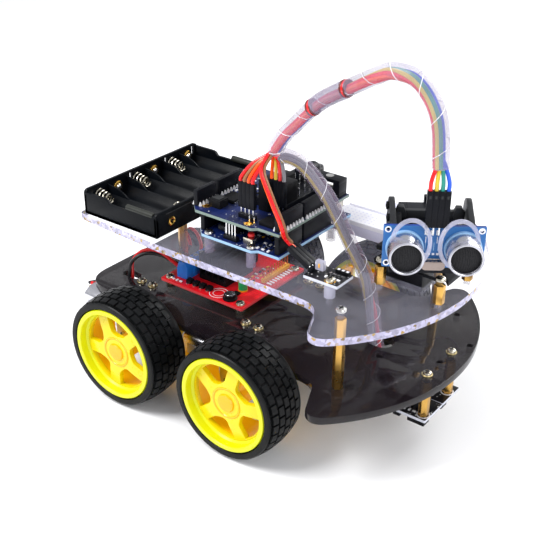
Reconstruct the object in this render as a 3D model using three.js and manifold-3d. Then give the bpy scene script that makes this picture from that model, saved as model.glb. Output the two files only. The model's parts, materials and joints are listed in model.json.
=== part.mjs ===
// Four wheel robot chassis: two acrylic decks on brass pillars, four gear motors with
// spoked wheels, a battery holder, a board stack and an ultrasonic head on a pan and tilt.
// Millimetres. +X points to the nose, +Y to the robot's left, +Z up, and the wheels
// stand on z = 0. Sizes are written from the middle of the wheelbase. At the end the part
// is moved so that the origin is under the middle of the box round the whole robot.

import * as THREE from "three";
import { mergeVertices } from "three/addons/utils/BufferGeometryUtils.js";
import Module from "manifold-3d";

const wasm = await Module();
wasm.setup();

// ---------------------------------------------------------------- driving dimensions

const WHEELBASE = 78;
const AXLE_X = WHEELBASE / 2;
const TYRE_RADIUS = 32.5;
const TYRE_WIDTH = 27;
const WHEEL_FACE_Y = 81.5; // outer face of a wheel
const WHEEL_Y = WHEEL_FACE_Y - TYRE_WIDTH / 2;
const AXLE_Z = TYRE_RADIUS;
const FIT = 0.3; // clearance between pieces that touch

const PLATE = 4; // acrylic thickness
const LOWER_Z = 44; // underside of the bottom plate
const LOWER_TOP = LOWER_Z + PLATE;
const PILLAR_LENGTH = 40;
const UPPER_Z = LOWER_TOP + PILLAR_LENGTH;
const DECK = UPPER_Z + PLATE; // upper face of the top plate
const PILLARS = { front_right: [88, -50], front_left: [88, 50], rear: [-57, 0] };
const NOSE_RADIUS = 104;
const NOSE_CENTRE_X = 25;
const LOBE_Y = 75.5; // where the round nose meets the lobes beside the front wheels
const WAIST_Y = 52.5; // half width between the wheels
const TAIL_Y = 49; // half width at the rear edge

const GEARBOX = { rear: 25.9, height: 22.5, inner: 33, outer: 51.8 };
const BRACKET_BACK = 20.4; // gearbox screws, behind the axle
const MOTOR_RADIUS = 10.1;
const MOTOR_FLAT = 7.6;
const MOTOR_LENGTH = 27;
const MOTOR_TAB = 3; // brush tabs behind the can

const HOLDER = { x0: -87.5, x1: -32.5, halfWidth: 47.5, height: 14.7, wall: 1.8, cells: 6 };
const BOARD = { x0: -9, width: 53.4, y0: -43.5, length: 68.6, thickness: 1.6 };
const SHIELD = { x0: -13, width: 57.4, y0: -43.5, length: 66 };
const CONTROLLER_Z = DECK + 9;
const SHIELD_Z = CONTROLLER_Z + 12.6;
const PIN = 2.54; // header pin pitch

const DRIVER = { x0: -51, x1: 9, y0: -27, y1: 33, z: LOWER_TOP + 4, thickness: 1.6 };
const TERMINALS = { x: -44.4, y0: -20.1, y1: 9.9, mouths: 6 };

const PAN_X = 101; // the pan axis is on the centreline
const PAN_BASE_Z = DECK + 10;
const PAN_BASE_THICKNESS = 2.5;
const HEAD_ANGLE = THREE.MathUtils.degToRad(-55); // the head looks to the right at rest
const HEAD_PLATE_Z = 118;
const TILT = { forward: 20, z: 132 }; // tilt axis, ahead of the pan axis
const BOARD_FORWARD = 41.4; // back of the ultrasonic board
const ULTRASONIC = { width: 45.4, height: 20.5, thickness: 1.6, z0: 121.3 };

const SENSOR = { x0: 101, x1: 121.5, top: 23, thickness: 1.6 };
const STANDOFF_X = 118;
const IR_SCREW = [76, -42]; // screw and spacer of the infrared receiver

const HARNESS_DIAMETER = 8;
const LEAD_DIAMETER = 3.6;

// ---------------------------------------------------------------- materials

const material = (color, roughness, metalness = 0) =>
  new THREE.MeshStandardMaterial({ color, roughness, metalness });

const SMOKED_ACRYLIC = material(0x3a3236, 0.12);
const CLEAR_ACRYLIC = material(0xdfe2ea, 0.08);
const BRASS = material(0xb8892f, 0.35, 1);
const YELLOW_PLASTIC = material(0xf2d20c, 0.4);
const WHITE_PLASTIC = material(0xe9e9ee, 0.45);
const RUBBER = material(0x16171a, 0.8);
const STEEL = material(0xb9bcc2, 0.3, 1);
const ALUMINIUM = material(0xc4c7cc, 0.4, 1);
const BLACK_PLASTIC = material(0x141519, 0.5);
const NAVY_BOARD = material(0x14235a, 0.4);
const BLUE_BOARD = material(0x0b49b5, 0.4);
const RED_BOARD = material(0xc3121c, 0.4);
const BLACK_BOARD = material(0x101014, 0.4);
const RED_PLASTIC = material(0xc8141a, 0.4);
const BLUE_PLASTIC = material(0x1767c9, 0.4);
const WRAP = material(0xd9d4e6, 0.35);
const RED_WIRE = material(0xd01418, 0.5);

// ---------------------------------------------------------------- solids

const ROUND = 20; // sides of an ordinary round piece

/** A closed three.js geometry as a manifold solid. */
function solid(geometry) {
  const bare = geometry.index ? geometry.toNonIndexed() : geometry.clone();
  for (const name of Object.keys(bare.attributes)) {
    if (name !== "position") bare.deleteAttribute(name);
  }
  const merged = mergeVertices(bare, 1e-4);
  const mesh = new wasm.Mesh({
    numProp: 3,
    vertProperties: new Float32Array(merged.attributes.position.array),
    triVerts: new Uint32Array(merged.index.array),
  });
  return new wasm.Manifold(mesh);
}

/** A manifold solid as a three.js geometry. */
function geometryOf(shape) {
  const mesh = shape.getMesh();
  const geometry = new THREE.BufferGeometry();
  geometry.setAttribute("position", new THREE.BufferAttribute(mesh.vertProperties, 3));
  geometry.setIndex(new THREE.BufferAttribute(mesh.triVerts, 1));
  geometry.computeVertexNormals();
  return geometry;
}

const join = (...shapes) => shapes.reduce((whole, shape) => whole.add(shape));
const cut = (shape, ...tools) => tools.reduce((whole, tool) => whole.subtract(tool), shape);

/** A box between two corners. */
function block(low, high) {
  const size = high.map((value, axis) => value - low[axis]);
  const middle = high.map((value, axis) => (value + low[axis]) / 2);
  return solid(new THREE.BoxGeometry(...size).translate(...middle));
}

/** A cylinder from `start` along an axis: "x", "y" or "z". */
function rod(radius, length, start, axis = "z", sides = ROUND, endRadius = radius) {
  const geometry = new THREE.CylinderGeometry(endRadius, radius, length, sides);
  geometry.translate(0, length / 2, 0);
  if (axis === "z") geometry.rotateX(Math.PI / 2);
  if (axis === "x") geometry.rotateZ(-Math.PI / 2);
  return solid(geometry.translate(...start));
}

/** A flat outline raised from z0 to z1. */
function prism(outline, z0, z1, curveSegments = 4) {
  const options = { depth: z1 - z0, bevelEnabled: false, curveSegments };
  return solid(new THREE.ExtrudeGeometry(outline, options).translate(0, 0, z0));
}

/** An outline drawn in the x-z plane, thick from y0 to y1. */
function sidePrism(outline, y0, y1, curveSegments = 6) {
  const options = { depth: y1 - y0, bevelEnabled: false, curveSegments };
  const geometry = new THREE.ExtrudeGeometry(outline, options).rotateX(Math.PI / 2);
  return solid(geometry.translate(0, y1, 0));
}

/** A ring or disc about the y axis from its half profile of [radius, y] points. */
function turned(profile, sides) {
  const points = profile.map(([radius, y]) => new THREE.Vector2(radius, y));
  return solid(new THREE.LatheGeometry(points, sides));
}

/** A cord's tube along hand-chosen route points. */
function tube(points, diameter, steps, sides = 8) {
  const section = new THREE.Shape();
  section.absarc(0, 0, diameter / 2, 0, 2 * Math.PI);
  const round = new THREE.Shape(section.getPoints(sides).slice(0, sides));
  const path = new THREE.CatmullRomCurve3(points.map((point) => new THREE.Vector3(...point)));
  return new THREE.ExtrudeGeometry(round, { steps, extrudePath: path, bevelEnabled: false });
}

const part = new THREE.Group();

/** Adds one named piece, as a geometry or as a manifold solid, to a group. */
function add(name, shape, look, group = part) {
  const geometry = shape.isBufferGeometry ? shape : geometryOf(shape);
  const mesh = new THREE.Mesh(geometry, look);
  mesh.name = name;
  group.add(mesh);
  return mesh;
}

// ---------------------------------------------------------------- plates and pillars

/** A deck's outline: round nose, a lobe beside each front wheel, waist and square tail. */
function deckOutline(tailX, tailCorner) {
  const lobe = Math.asin(LOBE_Y / NOSE_RADIUS);
  const outline = new THREE.Shape();
  outline.absarc(NOSE_CENTRE_X, 0, NOSE_RADIUS, -lobe, lobe);
  outline.quadraticCurveTo(91, 80, 86, 75);
  outline.lineTo(80, 62);
  outline.quadraticCurveTo(77, WAIST_Y, 66, WAIST_Y);
  outline.lineTo(-28, WAIST_Y);
  outline.lineTo(tailX + tailCorner, TAIL_Y);
  outline.quadraticCurveTo(tailX, TAIL_Y, tailX, TAIL_Y - tailCorner);
  outline.lineTo(tailX, -TAIL_Y + tailCorner);
  outline.quadraticCurveTo(tailX, -TAIL_Y, tailX + tailCorner, -TAIL_Y);
  outline.lineTo(-28, -WAIST_Y);
  outline.lineTo(66, -WAIST_Y);
  outline.quadraticCurveTo(77, -WAIST_Y, 80, -62);
  outline.lineTo(86, -75);
  outline.quadraticCurveTo(91, -80, 96.5, -LOBE_Y);
  return outline;
}

const M3_HOLE = 1.7;
const SPARE_HOLES = [[90, -13.7], [117.5, 1.2], [122.6, 25], [102, 49.8], [73.4, 41.5]];
const PAN_MOUNTS = [[88, -15], [88, 15], [121, -15], [121, 15]];
const SENSOR_MOUNTS = [[STANDOFF_X, -13], [STANDOFF_X, 13]];

const drill = ([x, y], z, radius = M3_HOLE) => rod(radius, PLATE + 2, [x, y, z - 1], "z", 6);

/** A round-ended slot through a plate. */
function slot(x0, x1, y, radius, z) {
  const outline = new THREE.Shape();
  outline.absarc(x1, y, radius, -Math.PI / 2, Math.PI / 2);
  outline.absarc(x0, y, radius, Math.PI / 2, (3 * Math.PI) / 2);
  return prism(outline, z - 1, z + PLATE + 1);
}

function bottomPlate() {
  const brackets = [];
  for (const axle of [AXLE_X, -AXLE_X]) {
    for (const side of [-1, 1]) {
      for (const offset of [-4.3, 4.3]) {
        brackets.push([axle - BRACKET_BACK + offset, side * 29.8]);
      }
    }
  }
  const holes = [...Object.values(PILLARS), ...brackets, ...SENSOR_MOUNTS, ...SPARE_HOLES];
  return cut(
    prism(deckOutline(-92, 18), LOWER_Z, LOWER_TOP, 8),
    ...holes.map((place) => drill(place, LOWER_Z)),
    slot(76, 84, 0, 6, LOWER_Z),
    slot(-77, -71, -27, 3.5, LOWER_Z),
    slot(-77, -71, 27, 3.5, LOWER_Z),
  );
}

function topPlate() {
  const holes = [...Object.values(PILLARS), ...PAN_MOUNTS, ...SPARE_HOLES.slice(3), IR_SCREW];
  return cut(
    prism(deckOutline(-91, 3), UPPER_Z, DECK, 8),
    ...holes.map((place) => drill(place, UPPER_Z)),
    slot(68, 76, -4, 6, UPPER_Z),
    block([PAN_X - 18, -6.8, UPPER_Z - 1], [PAN_X + 7, 6.8, DECK + 1]),
  );
}

/** A hexagonal spacer from z0 to z1, 5 mm across its flats. */
function hexSpacer([x, y], z0, z1) {
  return rod(5 / Math.sqrt(3), z1 - z0, [x, y, z0], "z", 6);
}

add("bottom_plate", bottomPlate(), SMOKED_ACRYLIC);
add("top_plate", topPlate(), CLEAR_ACRYLIC);
for (const [name, place] of Object.entries(PILLARS)) {
  add(`pillar_${name}`, hexSpacer(place, LOWER_TOP, UPPER_Z), BRASS);
}

// ---------------------------------------------------------------- drive units

/** Gearbox casing about its axle at the origin, with the motor to the rear. */
function gearbox() {
  const radius = GEARBOX.height / 2;
  const outline = new THREE.Shape();
  outline.absarc(0, 0, radius, -Math.PI / 2, Math.PI / 2);
  outline.lineTo(-GEARBOX.rear, radius);
  outline.lineTo(-GEARBOX.rear, -radius);
  const screw = (z) => rod(1.6, 22, [-BRACKET_BACK, GEARBOX.inner - 1, z], "y", 6);
  const tab = cut(
    block([radius - 3, 41, -2.6], [radius + 5, 43.5, 2.6]),
    rod(1.3, 5, [radius + 2.4, 40, 0], "y", 6),
  );
  return cut(
    join(sidePrism(outline, GEARBOX.inner, GEARBOX.outer, 10), tab),
    screw(8.75),
    screw(-8.75),
    rod(3.1, 30, [0, GEARBOX.inner - 2, 0], "y", 10),
  );
}

/** Flat-sided motor can with its end cap and brush tabs. */
function motor() {
  const y = (GEARBOX.inner + GEARBOX.outer) / 2;
  const start = -GEARBOX.rear - FIT;
  const can = rod(MOTOR_RADIUS, MOTOR_LENGTH, [start - MOTOR_LENGTH, y, 0], "x");
  const flats = block([start - 60, y - MOTOR_FLAT, -12], [start, y + MOTOR_FLAT, 12]);
  const cap = rod(4.5, 2.4, [start - MOTOR_LENGTH - 2.4, y, 0], "x", 12);
  const end = start - MOTOR_LENGTH - MOTOR_TAB;
  const tab = (z) => block([end, y - 1.2, z - 0.4], [start - 20, y + 1.2, z + 0.4]);
  return join(can.intersect(flats), cap, tab(7.4), tab(-7.4));
}

/** Output shaft with two flats, from inside the gearbox to the wheel's hub. */
function outputShaft() {
  const start = GEARBOX.inner + 1;
  const length = WHEEL_Y + 4 - start;
  const flats = block([-4, start, -1.85], [4, start + length, 1.85]);
  const collar = rod(2.7, GEARBOX.outer - start, [0, start, 0], "y", 10);
  return join(rod(2.7, length, [0, start, 0], "y", 10).intersect(flats), collar);
}

/** Metal block that carries the gearbox under the bottom plate. */
function motorBracket() {
  const half = 11;
  const low = [-BRACKET_BACK - half, GEARBOX.inner - 6.2, -15.5];
  const high = [-BRACKET_BACK + half, GEARBOX.inner - 0.2, LOWER_Z - AXLE_Z];
  const across = (z) => rod(1.6, 12, [-BRACKET_BACK, GEARBOX.inner - 8, z], "y", 6);
  const down = (x) => rod(1.3, 9, [-BRACKET_BACK + x, 29.8, LOWER_Z - AXLE_Z - 7], "z", 6);
  return cut(block(low, high), across(8.75), across(-8.75), down(-4.3), down(4.3));
}

/** Five-spoke rim about the y axis: a barrel, a web with windows and a hub, at one turn of the wheel. */
function rim(turn) {
  const half = TYRE_WIDTH / 2;
  const outer = 26.7;
  const bore = outer - 2.4;
  const faceY = half - 3.5;
  const profile = [
    [0, -half + 3],
    [6.5, -half + 3],
    [6.5, faceY - 4],
    [bore, faceY - 4],
    [bore, -half + 1],
    [outer, -half + 1],
    [outer, half - 0.2],
    [bore, half - 0.2],
    [bore, faceY],
    [9, faceY],
    [9, faceY + 1.2],
    [0, faceY + 1.2],
  ];
  const window = new THREE.Shape();
  window.absarc(0, 0, 22.6, -0.4, 0.4);
  window.absarc(0, 0, 12, 0.3, -0.3, true);
  const windows = [];
  const options = { depth: 12, bevelEnabled: false, curveSegments: 2 };
  for (let spoke = 0; spoke < 5; spoke += 1) {
    const opening = new THREE.ExtrudeGeometry(window, options);
    opening.rotateX(Math.PI / 2).translate(0, faceY + 5, 0);
    const angle = THREE.MathUtils.degToRad(turn + 72 * spoke);
    windows.push(solid(opening.rotateY(-angle)));
  }
  const socket = block([-3, -half, -2.15], [3, 4.4, 2.15]);
  return cut(turned(profile, 32), ...windows, socket);
}

/** Rubber tyre about the y axis, with a rounded shoulder on each side. */
function tyre() {
  const half = TYRE_WIDTH / 2;
  const inner = 27;
  return turned([
    [inner, -half],
    [TYRE_RADIUS - 2.2, -half],
    [TYRE_RADIUS, -half + 2.6],
    [TYRE_RADIUS, half - 2.6],
    [TYRE_RADIUS - 2.2, half],
    [inner, half],
    [inner, -half],
  ], 32);
}

/** One corner's drive unit. The left side is the right side mirrored across y = 0. */
function driveUnit(name, axleX, side, turn) {
  const mirrored = (shape) => (side > 0 ? shape : shape.mirror([0, 1, 0]));
  const unit = new THREE.Group();
  unit.position.set(axleX, 0, AXLE_Z);
  part.add(unit);
  add(`gearbox_${name}`, mirrored(gearbox()), YELLOW_PLASTIC, unit);
  add(`motor_${name}`, mirrored(motor()), STEEL, unit);
  add(`output_shaft_${name}`, mirrored(outputShaft()), WHITE_PLASTIC, unit);
  add(`motor_bracket_${name}`, mirrored(motorBracket()), ALUMINIUM, unit);
  const wheel = (shape) => mirrored(shape.translate([0, WHEEL_Y, 0]));
  add(`wheel_rim_${name}`, wheel(rim(turn)), YELLOW_PLASTIC, unit);
  add(`tyre_${name}`, wheel(tyre()), RUBBER, unit);
}

// The last number is how far each wheel has turned, in degrees.
driveUnit("front_right", AXLE_X, -1, 41);
driveUnit("front_left", AXLE_X, 1, 20);
driveUnit("rear_right", -AXLE_X, -1, 9);
driveUnit("rear_left", -AXLE_X, 1, 55);

// ---------------------------------------------------------------- battery holder

/** Open tray for six cells side by side, with low ridges between them. */
function batteryHolder() {
  const { x0, x1, halfWidth, height, wall, cells } = HOLDER;
  const top = DECK + height;
  const floor = DECK + 2;
  const bay = block([x0 + wall, -halfWidth + wall, floor], [x1 - wall, halfWidth - wall, top + 1]);
  const notch = block([-69, -halfWidth - 1, top - 5], [-51, halfWidth + 1, top + 1]);
  const lowSides = block([x0 + 8, -halfWidth - 1, top - 2.5], [x1 - 8, halfWidth + 1, top + 1]);
  const tray = cut(block([x0, -halfWidth, DECK], [x1, halfWidth, top]), bay, notch, lowSides);
  const pitch = (2 * halfWidth - 2 * wall) / cells;
  const ridge = new THREE.Shape();
  ridge.moveTo(-3.4, 0);
  ridge.quadraticCurveTo(-0.8, 1, -0.5, 4.6);
  ridge.lineTo(0.5, 4.6);
  ridge.quadraticCurveTo(0.8, 1, 3.4, 0);
  const options = { depth: x1 - x0 - wall, bevelEnabled: false, curveSegments: 3 };
  const ridges = [];
  for (let gap = 1; gap < cells; gap += 1) {
    const geometry = new THREE.ExtrudeGeometry(ridge, options);
    geometry.rotateX(Math.PI / 2).rotateZ(Math.PI / 2);
    ridges.push(solid(geometry.translate(x0 + wall / 2, -halfWidth + wall + gap * pitch, floor - 0.2)));
  }
  return join(tray, ...ridges);
}

add("battery_holder", batteryHolder(), BLACK_PLASTIC);

// ---------------------------------------------------------------- controller and shield

/** Board outline with the stepped edge at its right-hand end. */
function boardOutline({ x0, width, y0, length }) {
  const step = 2.5;
  const outline = new THREE.Shape();
  outline.moveTo(x0, y0 + length);
  outline.lineTo(x0, y0 + 2 * step);
  outline.lineTo(x0 + step, y0 + step);
  outline.lineTo(x0 + 2 * step, y0);
  outline.lineTo(x0 + width - 15.6, y0);
  outline.lineTo(x0 + width - 15.6 + step, y0 + step);
  outline.lineTo(x0 + width, y0 + step);
  outline.lineTo(x0 + width, y0 + length);
  return outline;
}

/** A header strip along Y from `pins` pins, its first pin at y. */
function header(x, y, pins, z0, height, width = 2.5) {
  return block([x - width / 2, y - PIN / 2, z0], [x + width / 2, y + (pins - 0.5) * PIN, z0 + height]);
}

const HEADER_ROWS = [
  { inset: 2.54, y: BOARD.y0 + 5.1, pins: 6 },
  { inset: 2.54, y: BOARD.y0 + 22.9, pins: 8 },
  { inset: 50.86, y: BOARD.y0 + 5.1, pins: 8 },
  { inset: 50.86, y: BOARD.y0 + 26.9, pins: 10 },
];
const HEADER_HEIGHT = 8.6;
const RESET = { x: BOARD.x0 + 32, y: BOARD.y0 + 7.6 };

/** The four headers that join the two boards. */
const headers = (z0, height) =>
  HEADER_ROWS.map((row) => header(BOARD.x0 + row.inset, row.y, row.pins, z0, height));

function controllerBoard() {
  const { x0, y0, length, thickness } = BOARD;
  const top = CONTROLLER_Z + thickness;
  const back = y0 + length;
  const spacers = [[7.6, 3], [35.5, 3], [2.6, 54.6], [50.8, 53.4]].map(([x, y]) => [x0 + x, y0 + y]);
  return join(
    prism(boardOutline(BOARD), CONTROLLER_Z, top),
    ...headers(top - 0.1, HEADER_HEIGHT),
    ...spacers.map(([x, y]) => rod(2.6, CONTROLLER_Z - DECK + 0.1, [x, y, DECK], "z", 8)),
    block([x0 + 32.5, back - 10, top - 0.1], [x0 + 44.5, back + 6.2, top + 10.8]),
    block([x0 + 3.2, back - 11.6, top - 0.1], [x0 + 12.2, back + 1.8, top + 10.8]),
    block([x0 + 13, y0 + 11, top - 0.1], [x0 + 22, y0 + 46, top + 4]),
    block([RESET.x - 3, RESET.y - 3, top - 0.1], [RESET.x + 3, RESET.y + 3, top + 3.4]),
  );
}

/** Row of posts for the jumper plugs, standing on a black carrier. */
const postRow = (x, y, count, z) =>
  block([x - 1.27, y - 1.25, z - 0.1], [x + (count - 0.5) * PIN, y + 1.25, z + 2.4]);

const HEAD_SOCKET = [16.5, -35.5];
const LINE_SOCKET = [24, -20];

function sensorShield() {
  const { x0, width, y0, length } = SHIELD;
  const top = SHIELD_Z + BOARD.thickness;
  const back = y0 + length;
  const x1 = x0 + width;
  const terminals = cut(
    block([x1 - 30, back - 9, top - 0.1], [x1 - 1, back - 1.5, top + 10]),
    block([x1 - 27, back - 12, top + 3], [x1 - 18, back, top + 8]),
    block([x1 - 14, back - 12, top + 3], [x1 - 5, back, top + 8]),
  );
  const leftRows = HEADER_ROWS.slice(0, 2);
  const rightRows = HEADER_ROWS.slice(2);
  return join(
    prism(boardOutline(SHIELD), SHIELD_Z, top),
    ...leftRows.map((row) => header(x0 + 2.2, row.y, row.pins, top - 0.1, HEADER_HEIGHT)),
    ...rightRows.map((row) => header(x1 - 2.5, row.y, row.pins, top - 0.1, HEADER_HEIGHT)),
    ...headers(SHIELD_Z - 2.4, 2.5),
    terminals,
    block([x0 + 16, -24, top - 0.1], [x0 + 24, -12, top + 2.2]),
    postRow(HEAD_SOCKET[0], HEAD_SOCKET[1], 4, top),
    postRow(LINE_SOCKET[0], LINE_SOCKET[1], 4, top),
  );
}

/** Four-way jumper plug with its four pins below, the first pin at [x, y]. */
function jumperPlug([x, y], pinsZ, bodyZ) {
  const body = block([x - 1.27, y - 1.3, bodyZ], [x + 3.5 * PIN, y + 1.3, bodyZ + 14]);
  const pins = [0, 1, 2, 3].map((index) => {
    const pinX = x + index * PIN;
    return block([pinX - 0.32, y - 0.32, pinsZ], [pinX + 0.32, y + 0.32, bodyZ + 1]);
  });
  return join(body, ...pins);
}

const SHIELD_TOP = SHIELD_Z + BOARD.thickness;
add("controller_board", controllerBoard(), NAVY_BOARD);
add(
  "reset_button",
  rod(1.75, 1.7, [RESET.x, RESET.y, CONTROLLER_Z + BOARD.thickness + 3.8], "z", 16),
  RED_PLASTIC,
);
add("sensor_shield", sensorShield(), NAVY_BOARD);
add("shield_plug_head", jumperPlug(HEAD_SOCKET, SHIELD_TOP + 2.7, SHIELD_TOP + 6), BLACK_PLASTIC);
add("shield_plug_line", jumperPlug(LINE_SOCKET, SHIELD_TOP + 2.7, SHIELD_TOP + 4), BLACK_PLASTIC);

// ---------------------------------------------------------------- motor driver

function driverBoard() {
  const { x0, x1, y0, y1, z, thickness } = DRIVER;
  const top = z + thickness;
  const corners = [[x0 + 4, y0 + 4], [x1 - 4, y0 + 4], [x0 + 4, y1 - 4], [x1 - 4, y1 - 4]];
  const diodes = [0, 1, 2, 3].map((index) => {
    const x = -33.5 + index * 4.8;
    return block([x - 1.9, -23.4, top - 0.1], [x + 1.9, -18.8, top + 2.3]);
  });
  return join(
    block([x0, y0, z], [x1, y1, top]),
    ...corners.map((place) => hexSpacer(place, LOWER_TOP, z + 0.1)),
    ...diodes,
    rod(4, 3.2, [-3.4, -21.5, top - 0.1], "z", 12),
    rod(2.6, 6.5, [-3.8, -9.5, top - 0.1], "z", 10),
    block([-1.3, 4, top - 0.1], [1.3, 29, top + 3.6]),
    block([-31, 18, top - 0.1], [-16, 26, top + 9]),
  );
}

/** Finned heatsink on the bridge chip. */
function heatsink() {
  const top = DRIVER.z + DRIVER.thickness;
  const fins = [0, 1, 2, 3, 4].map((index) => {
    const x = -33 + index * 4.6;
    return block([x, -13.5, top + 3], [x + 1.4, 12, top + 16]);
  });
  return join(block([-33, -13.5, top], [-13.2, 12, top + 3.2]), ...fins);
}

/** Row of screw terminals for the motors and the supply. */
function screwTerminals() {
  const { x, y0, y1, mouths } = TERMINALS;
  const top = DRIVER.z + DRIVER.thickness;
  const outline = new THREE.Shape();
  outline.moveTo(x, top);
  outline.lineTo(x + 8, top);
  outline.lineTo(x + 8, top + 7.6);
  outline.lineTo(x + 6.4, top + 10.2);
  outline.lineTo(x + 1.6, top + 10.2);
  outline.lineTo(x, top + 5.4);
  const pitch = (y1 - y0) / mouths;
  const openings = [];
  for (let index = 0; index < mouths; index += 1) {
    const y = y0 + (index + 0.5) * pitch;
    openings.push(block([x - 1, y - 1.5, top + 1], [x + 3.4, y + 1.5, top + 4.4]));
  }
  return cut(sidePrism(outline, y0, y1), ...openings);
}

add("driver_board", driverBoard(), RED_BOARD);
add("driver_heatsink", heatsink(), BLACK_PLASTIC);
add("driver_terminals", screwTerminals(), BLUE_PLASTIC);

// ---------------------------------------------------------------- deck modules

function irReceiver() {
  const z = DECK + 7;
  const board = block([62, -45, z], [82, -30.5, z + 1.6]);
  const eye = rod(2.9, 6.2, [67.5, -37, z + 3], "z", 10);
  return join(
    cut(board, rod(1.7, 4, [...IR_SCREW, z - 1], "z", 6)),
    block([64.6, -40, z + 1.5], [70.4, -34, z + 8.2]),
    eye,
    block([73, -38, z + 1.5], [80, -32, z + 3.6]),
  );
}

function breadboard() {
  const [x0, x1, y0, y1] = [33, 80, 22, 57.5];
  const high = DECK + 8.5;
  const groove = block([x0 - 1, 38.6, high - 2.5], [x1 + 1, 41, high + 1]);
  const body = block([x0, y0, DECK], [x1, 52.2, high]);
  return cut(join(body, block([x0, 50, DECK + 0.2], [x1 - 3, y1, high])), groove);
}

/** Plastic tube under the infrared receiver. */
function irSpacer() {
  const bore = rod(1.5, 9, [...IR_SCREW, DECK - 1], "z", 6);
  return cut(rod(2.9, 7, [...IR_SCREW, DECK], "z", 12), bore);
}

/** Three-way jumper plug on the receiver's slanted pins, which stand on the board's tail edge. */
function irPlug() {
  const top = DECK + 8.6;
  const pins = [-1, 0, 1].map((index) => {
    const y = index * PIN;
    return block([-2, y - 0.32, -0.32], [0.3, y + 0.32, 0.32]);
  });
  const plug = join(block([-15.2, -1.5 * PIN, -1.3], [-1.2, 1.5 * PIN, 1.3]), ...pins);
  const foot = block([62.2, -37.5 - 1.5 * PIN, top], [64.4, -37.5 + 1.5 * PIN, top + 2.4]);
  return join(plug.rotate([0, 28, 0]).translate([63.2, -37.5, top + 1.8]), foot);
}

add("ir_receiver_board", irReceiver(), BLACK_BOARD);
add("ir_receiver_spacer", irSpacer(), WHITE_PLASTIC);
add("ir_receiver_plug", irPlug(), BLACK_PLASTIC);
add("breadboard", breadboard(), WHITE_PLASTIC);

// ---------------------------------------------------------------- pan and tilt head

const SERVO = { length: 22.7, width: 12.2, shaft: 5.9, flange: 4.7, below: 15.9, above: 4.1 };

/** Micro servo whose shaft points up the z axis, its flange sitting on z = 0. */
function microServo() {
  const rear = -(SERVO.length - SERVO.shaft);
  const half = SERVO.width / 2;
  const ears = block([rear - SERVO.flange, -half, 0], [SERVO.shaft + SERVO.flange, half, 2.5]);
  const hole = (x) => rod(1.1, 5, [x, 0, -1], "z", 6);
  return join(
    cut(ears, hole(rear - 2.3), hole(SERVO.shaft + 2.3)),
    block([rear, -half, -SERVO.below], [SERVO.shaft, half, 2.5 + SERVO.above]),
    rod(SERVO.shaft, 4, [0, 0, 2.4 + SERVO.above], "z", 14),
    rod(2.4, 4.6, [0, 0, 6.3 + SERVO.above], "z", 10),
  );
}

/** Fixed plate under the pan servo, on four short brass spacers. */
function panBase() {
  const plate = new THREE.Shape();
  const [x0, x1, halfWidth, corner] = [84, 125, 19, 4];
  plate.moveTo(x0 + corner, -halfWidth);
  plate.lineTo(x1 - corner, -halfWidth);
  plate.quadraticCurveTo(x1, -halfWidth, x1, -halfWidth + corner);
  plate.lineTo(x1, halfWidth - corner);
  plate.quadraticCurveTo(x1, halfWidth, x1 - corner, halfWidth);
  plate.lineTo(x0 + corner, halfWidth);
  plate.quadraticCurveTo(x0, halfWidth, x0, halfWidth - corner);
  plate.lineTo(x0, -halfWidth + corner);
  plate.quadraticCurveTo(x0, -halfWidth, x0 + corner, -halfWidth);
  const top = PAN_BASE_Z + PAN_BASE_THICKNESS;
  const well = block([PAN_X - 17.1, -6.4, PAN_BASE_Z - 1], [PAN_X + 6.2, 6.4, top + 1]);
  return join(
    cut(prism(plate, PAN_BASE_Z, top, 4), well),
    ...PAN_MOUNTS.map((place) => hexSpacer(place, DECK, PAN_BASE_Z + 0.1)),
  );
}

const HEAD_FLOOR = HEAD_PLATE_Z + 2.5;
const SERVO_SIDE = 3; // flange plane of the tilt servo, towards the head's left

/** Turning bracket: a floor on the pan shaft and two cheeks that hold the tilt servo. */
function panBracket() {
  const { forward, z } = TILT;
  const floor = block([-9, -15.8, HEAD_PLATE_Z], [30.5, 13, HEAD_FLOOR]);
  const horn = rod(8, 2.7, [0, 0, HEAD_PLATE_Z - 2.6], "z", 20);
  const socket = rod(2.7, 7, [0, 0, HEAD_PLATE_Z - 3], "z", 12);
  const leftPost = (x) =>
    block([x, SERVO_SIDE - 3.4, HEAD_FLOOR - 0.1], [x + 3.6, SERVO_SIDE - FIT, z + 6]);
  const rightCheek = block([forward - 7, -15.8, HEAD_FLOOR - 0.1], [forward + 7, -13.2, z + 6]);
  const pin = rod(2, 3, [forward, -18.7, z], "y", 12);
  return cut(
    join(floor, horn, rightCheek, pin, leftPost(-1), leftPost(26.4)),
    socket,
  );
}

/** The tilt servo lies across the head, its shaft pointing to the head's left. */
function tiltServo() {
  const geometry = geometryOf(microServo());
  geometry.rotateX(-Math.PI / 2);
  return geometry.translate(TILT.forward, SERVO_SIDE, TILT.z);
}

/** Tilting frame: a front plate with an arm on each side of the servo. */
function tiltFrame() {
  const { forward, z } = TILT;
  const arm = new THREE.Shape();
  arm.moveTo(38.6, 116);
  arm.lineTo(38.6, 138);
  arm.absarc(forward, z + 6, 7, Math.PI / 3, Math.PI);
  arm.absarc(forward, z, 7, Math.PI, 1.5 * Math.PI);
  arm.lineTo(36, 116);
  const right = cut(sidePrism(arm, -19, -16.4, 5), rod(2.4, 6, [forward, -21, z], "y", 12));
  const left = cut(sidePrism(arm, 16.4, 19, 5), rod(2.8, 6, [forward, 15, z], "y", 12));
  const boss = cut(rod(5.4, 2, [forward, 18.9, z], "y", 16), rod(1.2, 4, [forward, 17.9, z], "y", 8));
  const front = block([36.2, -19, 116], [38.6, 19, 138]);
  return join(front, right, join(left, boss));
}

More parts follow.
